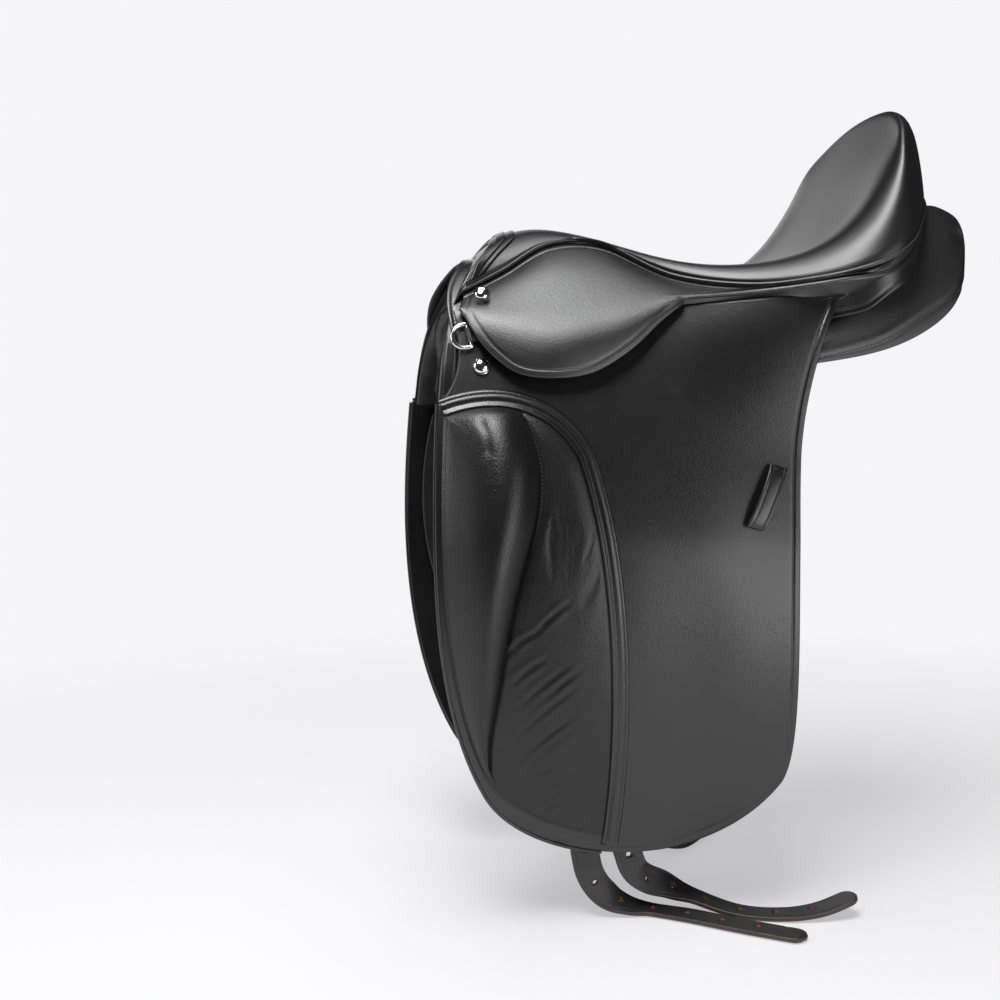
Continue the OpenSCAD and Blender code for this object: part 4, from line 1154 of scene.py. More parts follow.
@dataclass
class Skirt:
    """Skirt over the stirrup bar, in one sheet from the piping to its hem."""

    tools: Tools
    side: Side
    thick: float = 3.5
    swell: float = 9
    drop: float = 68

    def lines(self) -> tuple[Array, Array, Array]:
        """Fold, hem, and the lower edge of the fixed strip."""
        fold = np.array([[-249, -112, 47], [-66, -128, 57]], float)
        d, s, z = self.drop, FORM.seat_half, FORM.seat_low
        hem = np.array([[-249, -115, 41], [-243, -123, 29], [-231, -129, 12], [-208, -137, 62 - d],
                        [-177, -142, 58 - d],
                        [-145, -142, 63 - d], [-113, -140, 14], [-88, -134, 36], [-67, -129, 52]], float)
        strip = [mix(fold[0], fold[1], f) + [0, 0.4, 0.8] for f in (-0.02, 0.15, 0.4, 0.68, 1)]
        rear = [[-4, -0.9 * s, z - 26], [44, -1.03 * s, z - 20], [82, -1.095 * s, z - 13], [112, -1.1 * s, z - 3]]
        return fold, hem, np.array(strip + rear)

    def apron(self, above: Array) -> bpy.types.Object:
        """The leather between the strip and the upper edge of the flap."""
        top = bend(FORM.head_edges["top"], np.linspace(0, 1, 200))
        x = np.minimum(above[:, 0], top[-1, 0] - 2)
        low = FORM.lay_on(np.stack([x, np.interp(x, top[:, 0], top[:, 1]) - 6], 1), -2.6)
        t = np.linspace(0, 1, 12)[:, None, None]
        grid = mix((above + [0, 3.4, 2.5])[None], low[None], t) + np.sin(np.pi * t) * np.array([0, 2.0, -1.0])
        p, q, _ = shell(grid.reshape(-1, 3), grid_quads(*grid.shape[:2]), 1.4, (0, -1, 0.5), 0.6)
        return make_piece(f"skirt_apron_{self.side.value}", p, q, FLAP_LEATHER, self.side)

    def build(self) -> None:
        """Makes and places the sheet and its stitching."""
        fold, hem, strip = self.lines()
        turn = 4 / 9
        us = np.concatenate([spaced(190, 4, high=False) * turn, np.linspace(turn, 1, 64)[1:], np.ones(30)])
        vs = np.concatenate([-np.ones(len(us) - 30), np.linspace(-1, -0.45, 31)[1:]])
        top_edge = FORM.below(us, vs, np.full(len(us), 2 * FORM.welt_r + 2 * FORM.lay + 0.9))
        round_back = FORM.below(us, vs, mix(19.0, 13.5, ease((vs + 1) / 0.5)))
        low_edge = mix(thru(strip, us * 9 / 8), round_back, ease((us - 0.7) / 0.24)[:, None])
        turned = bump(np.arange(len(us)) - np.argmax(us), 14)
        top_edge, low_edge = eased(top_edge, turned, 60), eased(low_edge, turned, 90)
        down = unit(low_edge - top_edge)
        out = unit(np.cross(np.gradient(top_edge, axis=0), down))
        out *= np.sign((out @ [0, -1, 0.3]).mean())
        out = eased(out, turned, 60)
        tuck = [eased(FORM.below(us, vs, np.full(len(us), d)), turned, 60) - k * out for d,
                k in ((0.5, 2.4), (2.4, 1.8), (4.0, 0.8))]
        size = np.maximum(np.linalg.norm(low_edge - top_edge, axis=1), 9)
        inset = mix(7.6, 5.0, ease((us - 0.45) / 0.3)) / size
        steps = np.array([-2.4, -1.6, -1.1, -0.7, -0.35, 0, 0.35, 0.7, 1.1, 1.6, 2.4])[:, None] / size + inset
        t1 = np.concatenate([mix(0, steps[:1], np.linspace(0, 1, 4)[:-1, None]), steps,
                             mix(steps[-1:], 1, np.linspace(0, 1, 20)[1:, None])])[..., None]
        lift = 6 * np.sin(np.pi * np.clip(us / 0.5, 0, 1))[None, :, None] * np.array([0, -0.7, 0.7])
        upper = np.concatenate([np.stack(tuck), mix(top_edge[None], low_edge[None], t1) + np.sin(np.pi * t1) * lift])
        crease = mix(top_edge, low_edge, inset[:, None]) + np.sin(np.pi * inset)[:, None] * lift[0]
        k1 = int(np.searchsorted(us, turn + 1e-9))
        way = fold[1] - fold[0]
        f = np.clip(((low_edge[:k1] - fold[0]) @ way) / (way @ way), 0, 1)
        on_fold = mix(fold[0], fold[1], f[:, None])
        v1 = spaced(78, 2.6, low=False)[1:][:, None, None]
        belly = self.swell * np.sin(np.pi * f)[None, :, None] * np.array([0, -0.9, 0.4])
        lower = mix(on_fold[None], thru(hem, f)[None],
                    v1) + np.sin(np.pi * v1) * belly + (1 - v1) * (low_edge[:k1] - on_fold)[None]
        m, n = upper.shape[:2]
        points = np.concatenate([upper.reshape(-1, 3), lower.reshape(-1, 3)])
        below = np.concatenate([(m - 1) * n + np.arange(k1)[None],
                                m * n + np.arange(lower.shape[0] * k1).reshape(-1, k1)])
        quads = np.concatenate([grid_quads(m, n),
                                np.stack([below[:-1, :-1], below[:-1, 1:], below[1:, 1:], below[1:, :-1]],
                                         -1).reshape(-1, 4)])
        edge = np.concatenate([upper[3:, 0], lower[:, 0], lower[-1, 1:]])
        hold = 1 - bump(np.minimum(reach_line(points, edge), reach_line(points, top_edge)), 4)
        far = reach_line(points, low_edge)
        keep = np.where(points[:, 0] > -70, 0, 1) * (1 - bump(reach_line(points, crease), 4))
        points = relaxed(points, quads, 0.5 * hold * keep * bump(far, 24), 120)
        p, q, _ = shell(points, quads, self.thick, (0, -1, 0.4), 1.5,
                        [Groove(edge, 6.4, 0.75, 0.75), Groove(crease, 0, 1.1, 1.1)])
        s = self.side.value
        obj = make_piece(f"skirt_sheet_{s}", p, q, SKIRT_LEATHER, self.side)
        row = crease[14:-6]
        sewn = self.tools.stitching.sew(f"skirt_stitches_{s}", [drape(self.side.place(row), obj, -0.1)], 3.2)
        settle(sewn, "saddle")
        settle(self.apron(low_edge[(us > 0.3) & (us < 0.9)]), "saddle")
        mid = self.side.place(mix(fold[0], fold[1], 0.5)) * MM
        down = np.array([0.0546, 0, -0.9985]) * MM
        tuple(mid - 3 * down)
        tuple(mid + 9 * down)
        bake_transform(obj)
        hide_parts(f"skirt_top_{s}", f"skirt_{s}")
        LOG.info("%s bends between saddle and skirt", obj.name)


@dataclass
class Flap:
    """Flap leather in one sheet over its fold, with the seam round the knee area and the keeper."""

    tools: Tools
    side: Side
    thick: float = 4

    def sheet(self) -> bpy.types.Object:
        """The flap from its upper edge to its foot, with the opening for the stirrup bar."""
        us = spaced(310, 4.4)
        vh, vf = np.linspace(0, 1, 16), spaced(400, 4.4, low=False)
        head = FORM.patch(FORM.head_edges, *np.meshgrid(us, vh))
        flap = FORM.patch(FORM.flap_edges, *np.meshgrid(us, vf))
        flat = np.concatenate([head, flap[1:]])
        x, z = flat[..., 0], flat[..., 1]
        wave = (0.35 * np.sin(x / 31 + z / 47) + 0.3 * np.sin(x / 22 - z / 39 + 1.3)
                + 0.22 * np.sin(x / 13 + z / 71 + 0.4))
        grid = FORM.lay_on(flat, wave * ease((-60 - z) / 120) - 0.5)
        m, n = grid.shape[:2]
        e = FORM.flap_edges
        t = np.linspace(0, 1, 160)
        edge = FORM.lay_on(np.concatenate([bend(e["rear"], t), bend(e["foot"], 1 - 0.66 * t)[1:]]))
        p, q, _ = shell(grid.reshape(-1, 3), grid_quads(m, n), self.thick - 0.5, (0, -1, 0), 1.4,
                        [Groove(edge, 6.4, 0.75, 0.75)])
        obj = make_piece(f"flap_sheet_{self.side.value}", p, q, FLAP_LEATHER, self.side)
        cut_away(obj, self.opening())
        return obj

    def opening(self) -> bpy.types.Object:
        """Cutter for the opening round the stirrup bar."""
        lean, turn = math.radians(-16), math.radians(-3.8)
        low, high = (-52, -20, -16), (55, 20, 16)
        box = np.array([[(low, high)[i][0], (low, high)[j][1],
                         (low, high)[k][2]] for i in (0, 1) for j in (0, 1) for k in (0, 1)], float)
        y = box[:, 1] * math.cos(lean) - box[:, 2] * math.sin(lean)
        z = box[:, 1] * math.sin(lean) + box[:, 2] * math.cos(lean)
        at = FORM.lay_on(np.array([-174.0, 26.0]))
        p = at + np.stack([box[:, 0] * math.cos(turn) - y * math.sin(turn),
                           box[:, 0] * math.sin(turn) + y * math.cos(turn), z], 1)
        faces = np.array([[0, 1, 3, 2], [4, 6, 7, 5], [0, 4, 5, 1], [2, 3, 7, 6], [0, 2, 6, 4], [1, 5, 7, 3]])
        return make_piece("bar_opening", p, faces, FLAP_LEATHER, self.side)

    def seam_line(self, out: float, t: Array) -> Array:
        """A line beside the knee area's seam, in the plane of the flap."""
        e = FORM.grip_edges
        line = np.concatenate([bend(e["top"], np.linspace(0, 1, 60)), bend(e["rear"], np.linspace(0, 1, 140))[1:]])
        way = unit(np.gradient(line, axis=0))
        line, way = np.concatenate([line[:1] - 4.5 * way[:1], line,
                                    line[-1:] + 9 * way[-1:]]), np.concatenate([way[:1], way, way[-1:]])
        line = line + out * np.stack([-way[:, 1], way[:, 0]], 1)
        run = np.concatenate([[0], np.cumsum(np.linalg.norm(np.diff(line, axis=0), axis=1))])
        at = t * run[-1]
        return np.stack([np.interp(at, run, line[:, k]) for k in (0, 1)], -1)

    def seam(self) -> tuple[bpy.types.Object, bpy.types.Object]:
        """The raised double seam behind the knee area, and its two rows of stitches."""
        t = np.linspace(0.012, 0.998, 240)
        across = np.array([-0.6, -0.2, 0.4, 1.0, 1.7, 2.4, 3.4, 4.3, 5.0, 5.8, 7.2, 8.6, 9.8, 10.6, 11.4, 12.4, 13.4,
                           14.2])
        height = np.array([0.3, 1.5, 2.3, 2.6, 2.5, 2.1, 1.5, 1.05, 0.8, 1.1, 1.45, 1.45, 1.15, 0.75, 0.95, 0.95,
                           0.55, -0.3])
        ends = np.minimum(ease(t / 0.02), ease((1 - t) / 0.01))
        grid = np.stack([FORM.lay_on(self.seam_line(a, t), h * (0.35 + 0.65 * ends) + 0.1) for a,
                         h in zip(across, height)])
        m, n = grid.shape[:2]
        under = np.stack([FORM.lay_on(self.seam_line(a, t), -0.45) for a in across])
        quads = grid_quads(m, n)
        p = np.concatenate([grid.reshape(-1, 3), under.reshape(-1, 3)])
        wall = side_walls(m, n)
        faces = np.concatenate([quads, quads[:, ::-1] + m * n, wall[:, ::-1]])
        if normals_of(p[:m * n], quads)[:, 1].mean() > 0:
            faces = faces[:, ::-1]
        s = self.side.value
        obj = make_piece(f"knee_seam_{s}", p, faces, FLAP_LEATHER, self.side)
        rows = [drape(self.side.place(FORM.lay_on(self.seam_line(a, np.linspace(0.02, 0.99, 260)), 1)), obj,
                      0.12) for a in (5.0, 10.9)]
        return obj, self.tools.stitching.sew(f"knee_stitches_{s}", rows, 3.3)

    def keeper(self) -> tuple[bpy.types.Object, bpy.types.Object]:
        """The loop for the end of the stirrup leather and its stitches."""
        t = np.linspace(0, 1, 48)
        path = FORM.lay_on(mix(np.array([8.0, -82]), np.array([-14.0, -133]), t[:, None]),
                           2 + 6 * np.sin(np.pi * t) ** 0.5)
        wide = np.tile([1, 0, -0.2], (48, 1))
        places = np.array([-7.5, -7.3, -6.8, -6.2, -5.2, -4.6, -4.0, -2, 0, 2, 4.0, 4.6, 5.2, 6.2, 6.8, 7.3, 7.5])
        grid = ribbon(path, wide, places, 2.4)
        if grid[:, :, 1].mean() > path[:, 1].mean():
            grid = ribbon(path, -wide, places, 2.4)
        p, q, _ = shell(grid.reshape(-1, 3), grid_quads(*grid.shape[:2]), 2.4, (0, -1, 0), 0.9,
                        [Groove(path, 4.6, 0.5, 0.35)])
        s = self.side.value
        obj = make_piece(f"keeper_loop_{s}", p, q, FLAP_LEATHER, self.side)
        rows = [drape(self.side.place(grid[k, 2:-2]), obj, 0.1) for k in (3, 44)]
        return obj, self.tools.stitching.sew(f"keeper_stitches_{s}", rows, 2.4)

    def build(self) -> None:
        """Makes and places the pieces."""
        s = self.side.value
        obj = self.sheet()
        t = np.linspace(0.12, 0.86, 60)
        flat = bend(FORM.head_edges["front"], t) + [5.5, 0]
        row = drape(self.side.place(FORM.lay_on(flat)), obj, 0.1)
        settle(self.tools.stitching.sew(f"flap_head_stitches_{s}", [row], 3.4), "saddle")
        mid = self.side.place(FORM.lay_on(FORM.fold(0.5))) * MM
        down = np.array([0.25, 0, -0.968]) * MM
        tuple(mid - 9 * down)
        tuple(mid + 5 * down)
        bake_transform(obj)
        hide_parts(f"flap_head_{s}", f"flap_{s}")
        LOG.info("%s bends between saddle and flap", obj.name)
        seam, sewn = self.seam()
        settle(seam, f"flap_{s}")
        settle(sewn, f"flap_{s}")
        keeper, ends = self.keeper()
        settle(keeper, f"flap_{s}", [f"keeper_{s}"])
        settle(ends, f"flap_{s}")


@dataclass
class KneePad:
    """Soft leather over the knee block, sewn down round its edge and behind the block."""

    tools: Tools
    side: Side
    base: float = 2.9
    pressure: float = 3.0
    cap: float = 4.0
    creases: tuple = (((-211, -310), (-153, -259)), ((-214, -338), (-151, -281)), ((-208, -345), (-154, -294)),
                      ((-205, -358), (-166, -326)), ((-198, -369), (-152, -334)), ((-212, -287), (-163, -243)),
                      ((-216, -265), (-181, -236)), ((-219, -239), (-191, -214)), ((-195, -384), (-156, -361)),
                      ((-185, -274), (-151, -247)), ((-199, -223), (-163, -190)))
    pleat: tuple = ((-238, -46), (-235, -53), (-233.5, -60), (-234, -68))

    def outline(self) -> Array:
        """The sewn edge, in the plane of the flap."""
        e, t = FORM.grip_edges, np.linspace(0, 1, 120)
        return np.concatenate([bend(e["top"], t), bend(e["rear"], t)[1:], bend(e["foot"], 1 - t)[1:],
                               bend(e["front"], 1 - t)[1:]])

    def block_line(self, v: Array) -> Array:
        """The seam behind the block, in the plane of the flap."""
        return FORM.patch(FORM.grip_edges, FORM.block_edge(v), v)

    def build(self) -> None:
        """Makes and places the pad, its edge piping and its stitches."""
        s = self.side.value
        v = spaced(350, 2.4)
        a = np.concatenate([[0, 0.012, 0.03, 0.05, 0.075, 0.1], np.linspace(0.13, 0.93, 34), [0.955, 0.975, 0.99, 1]])
        b = np.concatenate([[0.008, 0.02, 0.04, 0.065], np.linspace(0.1, 0.9, 34), [0.93, 0.955, 0.975, 0.99, 1]])
        e = FORM.block_edge(v)[:, None]
        uu = np.concatenate([a[None] * e, mix(e, 1, b[None])], 1)
        vv = np.broadcast_to(v[:, None], uu.shape)
        aa = np.concatenate([np.broadcast_to(a, (len(v), len(a))), np.ones((len(v), len(b)))], 1)
        flat = FORM.patch(FORM.grip_edges, uu, vv)
        m, n = flat.shape[:2]
        q = flat.reshape(-1, 2)
        edge, line = self.outline(), self.block_line(np.linspace(0, 0.9, 160))
        to_edge, to_line = reach_line(q, edge), reach_line(q, line)
        rise = np.where(aa < 1, FORM.block_rise(aa, vv), 0).ravel()
        behind = (aa.ravel() >= 1)
        soft = 1 - np.exp(-to_edge / 3.2)
        height = 0.5 + (self.base - 0.5 + 1.2 * behind * ease(to_edge / 14) * ease(to_line / 10)) * soft + rise
        height -= 1.5 * bump(to_line, 1.6) * ease(to_edge / 8)
        for p0, p1 in self.creases:
            p0, p1 = np.array(p0, float), np.array(p1, float)
            way = p1 - p0
            t = np.clip(((q - p0) @ way) / (way @ way), 0, 1)
            bow = 3.0 * np.sin(np.pi * t)[:, None] * unit(np.array([-way[1], way[0]]))
            d = np.linalg.norm(q - (p0 + t[:, None] * way + bow), axis=1)
            fade = np.sin(np.pi * np.clip(t, 0.02, 0.98)) * ease(to_edge / 6) * behind
            height += fade * (0.75 * bump(d - 4.2, 2.6) - 0.95 * bump(d, 1.7))
        fold = thru(self.pleat, np.linspace(0, 1, 40))
        d = reach_line(q, fold)
        height -= 1.3 * bump(d, 3.0) * ease((to_edge - 3) / 6) * (~behind)
        grid = FORM.lay_on(flat, height.reshape(m, n))
        quads = grid_quads(m, n)
        if normals_of(grid.reshape(-1, 3), quads)[:, 1].mean() > 0:
            quads = quads[:, ::-1]
        pin = np.clip(np.maximum(bump(to_edge, 2.5), bump(to_line, 2.0)), 0, 1)
        pin = np.where(pin > 0.2, np.maximum(pin, 0.5), 0)
        rim_pin = np.zeros((m, n), bool)
        rim_pin[[0, -1]] = rim_pin[:, [0, -1]] = True
        pin = np.where(rim_pin.ravel(), 1.0, pin)
        front = swell(grid.reshape(-1, 3), quads, pin, self.pressure, self.cap)
        back = FORM.lay_on(flat, 0.25).reshape(-1, 3)
        wall = side_walls(m, n)
        wall = wall if quads[0][1] != quads[0][0] + 1 else wall[:, ::-1]
        faces = np.concatenate([quads, quads[:, ::-1] + m * n, wall])
        pad = make_piece(f"knee_pad_{s}", np.concatenate([front, back]), faces, GRIP_LEATHER, self.side)
        settle(pad, f"flap_{s}", [f"grip_{s}", f"knee_block_{s}"])
        ed = FORM.flap_edges
        t = np.linspace(0, 1, 140)
        border = np.concatenate([bend(ed["front"], t), bend(ed["foot"], 0.45 * t)[1:]])
        border = FORM.lay_on(border, -1.2)
        settle(self.tools.piping.lay(f"flap_piping_{s}", [self.side.place(border)], 1.7, FLAP_LEATHER), f"flap_{s}")
        ge = FORM.grip_edges
        inner = np.concatenate([bend(ge["front"], t), bend(ge["foot"], t)[1:]])
        way = unit(np.gradient(inner, axis=0))
        inner = inner + 2.2 * np.stack([-way[:, 1], way[:, 0]], 1)
        front_row = drape(self.side.place(FORM.lay_on(inner, 3)), pad, 0.15)
        top = self.block_line(np.linspace(0.03, 0.3, 60)) + [1.8, 0.8]
        seam_row = drape(self.side.place(FORM.lay_on(top, 3)), pad, 0.12)
        settle(self.tools.stitching.sew(f"pad_stitches_{s}", [front_row, seam_row], 3.3), f"flap_{s}")


@dataclass
class Cushion:
    """Stuffed cushion that rests on the horse, with its sewn gusset."""

    tools: Tools
    side: Side
    rings: int = 96
    around: int = 72
    pressure: float = 3.5
    cap: float = 4.5
    seam_at: float = 150

    def form(self, t: Array, f: Array, inset: float = 0.0) -> Array:
        """A point of the cushion, by its share of the length and the angle round it."""
        b, p = FORM.panel_back, FORM.panel_top
        mid = thru([[-236, -36, 22], [-190, -36, 4], [-120, -40, 4], [-40, -50, p - 19], [40, -54, p - 13],
                    [110, -52, 42],
                    [156, -47, 83], [b - 15, -42, 93.5], [b, -36, 98]], t)
        size = thru([[9, 26], [19, 44], [18, 40], [18, 47], [17, 51], [31, 50], [58, 46], [46, 37], [24, 16]],
                    t) - inset
        tilt = np.radians(thru([62, 56, 46, 24, 8, 2, 0, 0, 0], t))
        c, s = np.cos(np.radians(f)), np.sin(np.radians(f))
        along = size[..., 1] * np.sign(c) * np.abs(c) ** 0.75
        deep = size[..., 0] * np.sign(s) * np.abs(s) ** 0.75
        y = mid[..., 1] - FORM.gullet_half + along * np.cos(tilt) + deep * np.sin(tilt)
        z = mid[..., 2] + along * np.sin(tilt) - deep * np.cos(tilt)
        room = FORM.panel_in
        return np.stack([mid[..., 0] + 0 * y, np.maximum(y, room + inset - FORM.half_at(mid[..., 0], z)), z], -1)

    def build(self) -> None:
        """Makes and places the cushion, its seam and its stitches."""
        s = self.side.value
        t = np.linspace(0, 1, self.rings) ** 0.96
        f = np.arange(self.around) * 360 / self.around
        tt, ff = np.meshgrid(t, f, indexing="ij")
        rings = self.form(tt, ff, 1.6)
        caps = [mix(rings[k].mean(0), rings[k], np.array([0.02, 0.25, 0.5, 0.75])[:, None, None]) for k in (0, -1)]
        rings = np.concatenate([caps[0], rings, caps[1][::-1]])
        m, n = rings.shape[:2]
        k, last = np.arange(n // 2 - 1), (m - 1) * n
        lid = np.stack([k, k + 1, n - 2 - k, n - 1 - k], 1)
        points, quads = rings.reshape(-1, 3), np.concatenate([tube_quads(m, n), lid[:, ::-1], lid + last])
        if (normals_of(points, quads) * (points - points.mean(0))).sum(1).mean() < 0:
            quads = quads[:, ::-1]
        points = relaxed(points, quads, np.full(len(points), 0.5), 10)
        line = self.form(t, np.full(len(t), self.seam_at))[6:-2]
        end = points[np.argmax(points[:, 0])]
        line = np.concatenate([line, mix(line[-1], end, np.linspace(0.1, 0.55, 6)[:, None])])
        pin = np.where(reach_line(points, line) < 2.5, 0.8, 0.0)
        points = swell(points, quads, pin, self.pressure, self.cap)
        points = np.stack([points[:, 0], np.maximum(points[:, 1],
                                                    FORM.panel_in - FORM.half_at(points[:, 0], points[:, 2])),
                           points[:, 2]], 1)
        near = reach_line(points, line)
        points = points - normals_of(points, quads) * (1.3 * bump(near, 1.9) - 0.5 * bump(near - 5, 3))[:, None]
        obj = make_piece(f"cushion_{s}", points, quads, PANEL_LEATHER, self.side, 90)
        mod = obj.modifiers.new("round", "SUBSURF")
        mod.levels = mod.render_levels = 1
        plain_mesh(obj)
        settle(obj, "saddle", [f"panel_{s}"])
        row = drape(self.side.place(line[4:]), obj, 0.05)
        settle(self.tools.stitching.sew(f"cushion_stitches_{s}", [row], 4.2), "saddle")


@dataclass
class Front:
    """Leather round the arch at the front: cover, facing, strips, roll and sweat flaps."""

    tools: Tools
    seat: bpy.types.Object

    def facing(self) -> tuple[bpy.types.Object, bpy.types.Object]:
        """The facing over the arch and its stitches."""
        path, out = FORM.arch_line(FORM.head_t / 2 + 5, -12, 0, 0.93, 60)
        places = np.array([-15, -14.7, -14.2, -13.4, -12, -11.2, -10.6, -9.8, -8, -4, 0, 4, 8, 10, 11, 12, 13.4, 14.2,
                           14.7, 15])
        wide = np.tile([1.0, 0, 0], (len(path), 1))
        grid = path[:, None] + places[None, :, None] * wide[:, None] + 1.2 * out[:, None]
        p, q, _ = shell(grid.reshape(-1, 3), grid_quads(*grid.shape[:2]), 2.4, (0, 0, 1), 1.0,
                        [Groove(grid[:, 0], 4.2, 0.7, 0.6)])
        obj = make_piece("arch_facing", p, q, FLAP_LEATHER)
        return obj, self.tools.stitching.sew("arch_stitches", [drape(grid[2:-2, 6], obj, 0.1)], 3.4)

    def cover(self) -> bpy.types.Object:
        """The leather wrapped round the tree's head."""
        path, out = FORM.arch_line(0, 0, 0, 1, 70)
        way = unit(np.gradient(path, axis=0))
        path = np.concatenate([[path[0] - 5 * way[0]], path, [path[-1] + 5 * way[-1]]])
        out = np.concatenate([out[:1], out, out[-1:]])
        turn = np.linspace(0, 2 * np.pi, 37)[:-1]
        c, s = np.cos(turn), np.sin(turn)
        x = 20 * np.sign(c) * np.abs(c) ** 0.4 - 0.8
        d = np.where(s > 0, 8.8, 11.4) * np.sign(s) * np.abs(s) ** 0.4
        ring = path[:, None] + x[None, :, None] * np.array([1.0, 0, 0]) + d[None, :, None] * out[:, None]
        centre = np.array([path[0], path[-1]])[:, None]
        rings = np.concatenate([mix(centre[:1], ring[:1], 0.02), mix(centre[:1], ring[:1], 0.8), ring,
                                mix(centre[1:], ring[-1:], 0.8), mix(centre[1:], ring[-1:], 0.02)])
        p, quads = rings.reshape(-1, 3), tube_quads(*rings.shape[:2])
        if (normals_of(p, quads) * (p - np.repeat(rings.mean(1), rings.shape[1], axis=0))).sum(1).mean() < 0:
            quads = quads[:, ::-1]
        return make_piece("arch_cover", p, quads, FLAP_LEATHER)

    def brow(self, u: float, s: Array) -> Array:
        """A line over the front of the seat, from the piping on the left to the piping on the right."""
        over = np.abs(s) <= 0.6
        t = np.clip((np.abs(s) - 0.6) / 0.4, 0, 1)
        near = np.clip(u * (1 - 0.7 * t), 0, 1)
        side = np.where(s < 0, -1.0, 1.0)
        return np.where(over[:, None], FORM.dish(near, np.clip(s / 0.6, -1, 1)), FORM.wall(near, side, t))

    def strips(self, seat: bpy.types.Object) -> bpy.types.Object:
        """Three layered strips over the front of the seat."""
        s = np.concatenate([np.linspace(-0.97, -0.6, 40)[:-1], np.linspace(-0.6, 0.6, 61),
                            np.linspace(0.6, 0.97, 40)[1:]])
        points, quads, at = [], [], 0
        for start, end, lift in ((0.012, 0.05, 1.8), (0.04, 0.084, 3.4), (0.074, 0.118, 2.0)):
            grid = np.stack([self.brow(u, s) for u in mix(start, end,
                                                          np.array([0, 0.03, 0.1, 0.2, 0.35, 0.5, 0.65, 0.8, 0.9,
                                                                    0.97, 1]))])
            m, n = grid.shape[:2]
            q = grid_quads(m, n)
            out = normals_of(grid.reshape(-1, 3), q)
            out *= np.sign(out[:, 2].mean())
            laid, _ = drape(grid.reshape(-1, 3) + 6 * out, seat, lift)
            p, f, _ = shell(relaxed(laid, q, np.full(len(laid), 0.5), 14), q, 2.6, (0, 0, 1), 0.9)
            points.append(p)
            quads.append(f + at)
            at += len(p)
        return make_piece("pommel_strips", np.concatenate(points), np.concatenate(quads), FLAP_LEATHER)

    def cap(self) -> bpy.types.Object:
        """The leather that closes the front between the seat and the arch."""
        s = np.linspace(-1, 1, 121)
        t = np.abs(s) * 0.62
        low = FORM.arch_at(t) * np.stack([np.ones(121), np.where(s < 0, 1, -1), np.ones(121)], 1)
        low = low + np.array([-16.0, 0, 4.0])
        high = self.brow(0.004, s) + np.array([1.0, 0, -2.0])
        r = np.linspace(0, 1, 14)[:, None, None]
        grid = mix(high[None], low[None], r) + np.sin(np.pi * r) * np.array([-3.0, 0, 2.0])
        p, q, _ = shell(grid.reshape(-1, 3), grid_quads(*grid.shape[:2]), 1.6, (-1, 0, 0.4), 0.7)
        return make_piece("pommel_cap", p, q, FLAP_LEATHER)

    def roll(self) -> bpy.types.Object:
        """The stuffed roll that joins the cushions under the arch."""
        path, _ = FORM.arch_line(-FORM.head_t / 2 - FORM.plate_t - 8, -16, 0, 0.97, 90)
        a = unit(np.gradient(path, axis=0))
        x = unit(np.cross(a, [1.0, 0, 0]))
        y = np.cross(a, x)
        k = np.arange(len(path))
        turn = np.arange(24) * 2 * np.pi / 24
        tuck = 1 - 0.07 * np.abs(np.sin(k * 0.42)) ** 6
        r = 6.4 * tuck * np.minimum(1, np.sqrt(np.clip(np.minimum(k + 0.4, len(path) - 0.6 - k) / 4, 0, 1)))
        ring = path[:, None] + r[:, None, None] * (np.cos(turn)[None, :, None] * x[:, None]
                                                   + np.sin(turn)[None, :, None] * y[:, None])
        m, n = ring.shape[:2]
        quads = tube_quads(m, n)
        caps = [tuple(range(n)), tuple((m - 1) * n + np.arange(n))]
        p = ring.reshape(-1, 3)
        if (normals_of(p, quads) * (p - np.repeat(path, n, axis=0))).sum(1).mean() < 0:
            quads = quads[:, ::-1]
            caps = [caps[0], caps[1][::-1]]
        else:
            caps = [caps[0][::-1], caps[1]]
        obj = make_piece("front_roll", p, quads, PANEL_LEATHER)
        mesh = obj.data
        faces = [tuple(f) for f in quads.tolist()] + [tuple(int(i) for i in c) for c in caps]
        mesh.clear_geometry()
        mesh.from_pydata((p * MM).tolist(), [], faces)
        mesh.shade_smooth()
        return obj

    def sweat_flap(self, side: Side) -> bpy.types.Object:
        """The flap under the girth straps."""
        d = FORM.sweat_drop
        a, b, c, e = (-252, -42), (30, 6), (-206, -d + 48), (-10, -d + 64)
        edges = {"top": [a, (-160, -44), (-60, -8), b], "foot": [c, (-170, -d - 14), (-60, -d - 14), e],
                 "front": [a, (-270, -110), (-266, -220), c], "rear": [b, (0, -60), (26, -200), e]}
        flat = FORM.patch({k: np.array(v, float) for k, v in edges.items()},
                          *np.meshgrid(spaced(270, 6), spaced(300, 6)))
        grid = FORM.lay_on(flat, -FORM.sweat_in)
        p, q, _ = shell(grid.reshape(-1, 3), grid_quads(*grid.shape[:2]), FORM.sweat_t, (0, -1, 0), 1.2)
        return make_piece(f"sweat_leather_{side.value}", p, q, PANEL_LEATHER, side)

    def build(self) -> None:
        """Makes and places the pieces."""
        facing, sewn = self.facing()
        settle(facing, "saddle", ["head_facing"])
        settle(sewn, "saddle")
        for piece in (self.cover(), self.cap(), self.strips(self.seat)):
            settle(piece, "saddle")
        roll = settle(self.roll(), "saddle", ["panel_collar"])
        for side in Side:
            settle(self.sweat_flap(side), "saddle", [f"sweat_flap_{side.value}"])


class Strap(Enum):
    """The two girth straps of a side."""

    FRONT = "front"
    REAR = "rear"


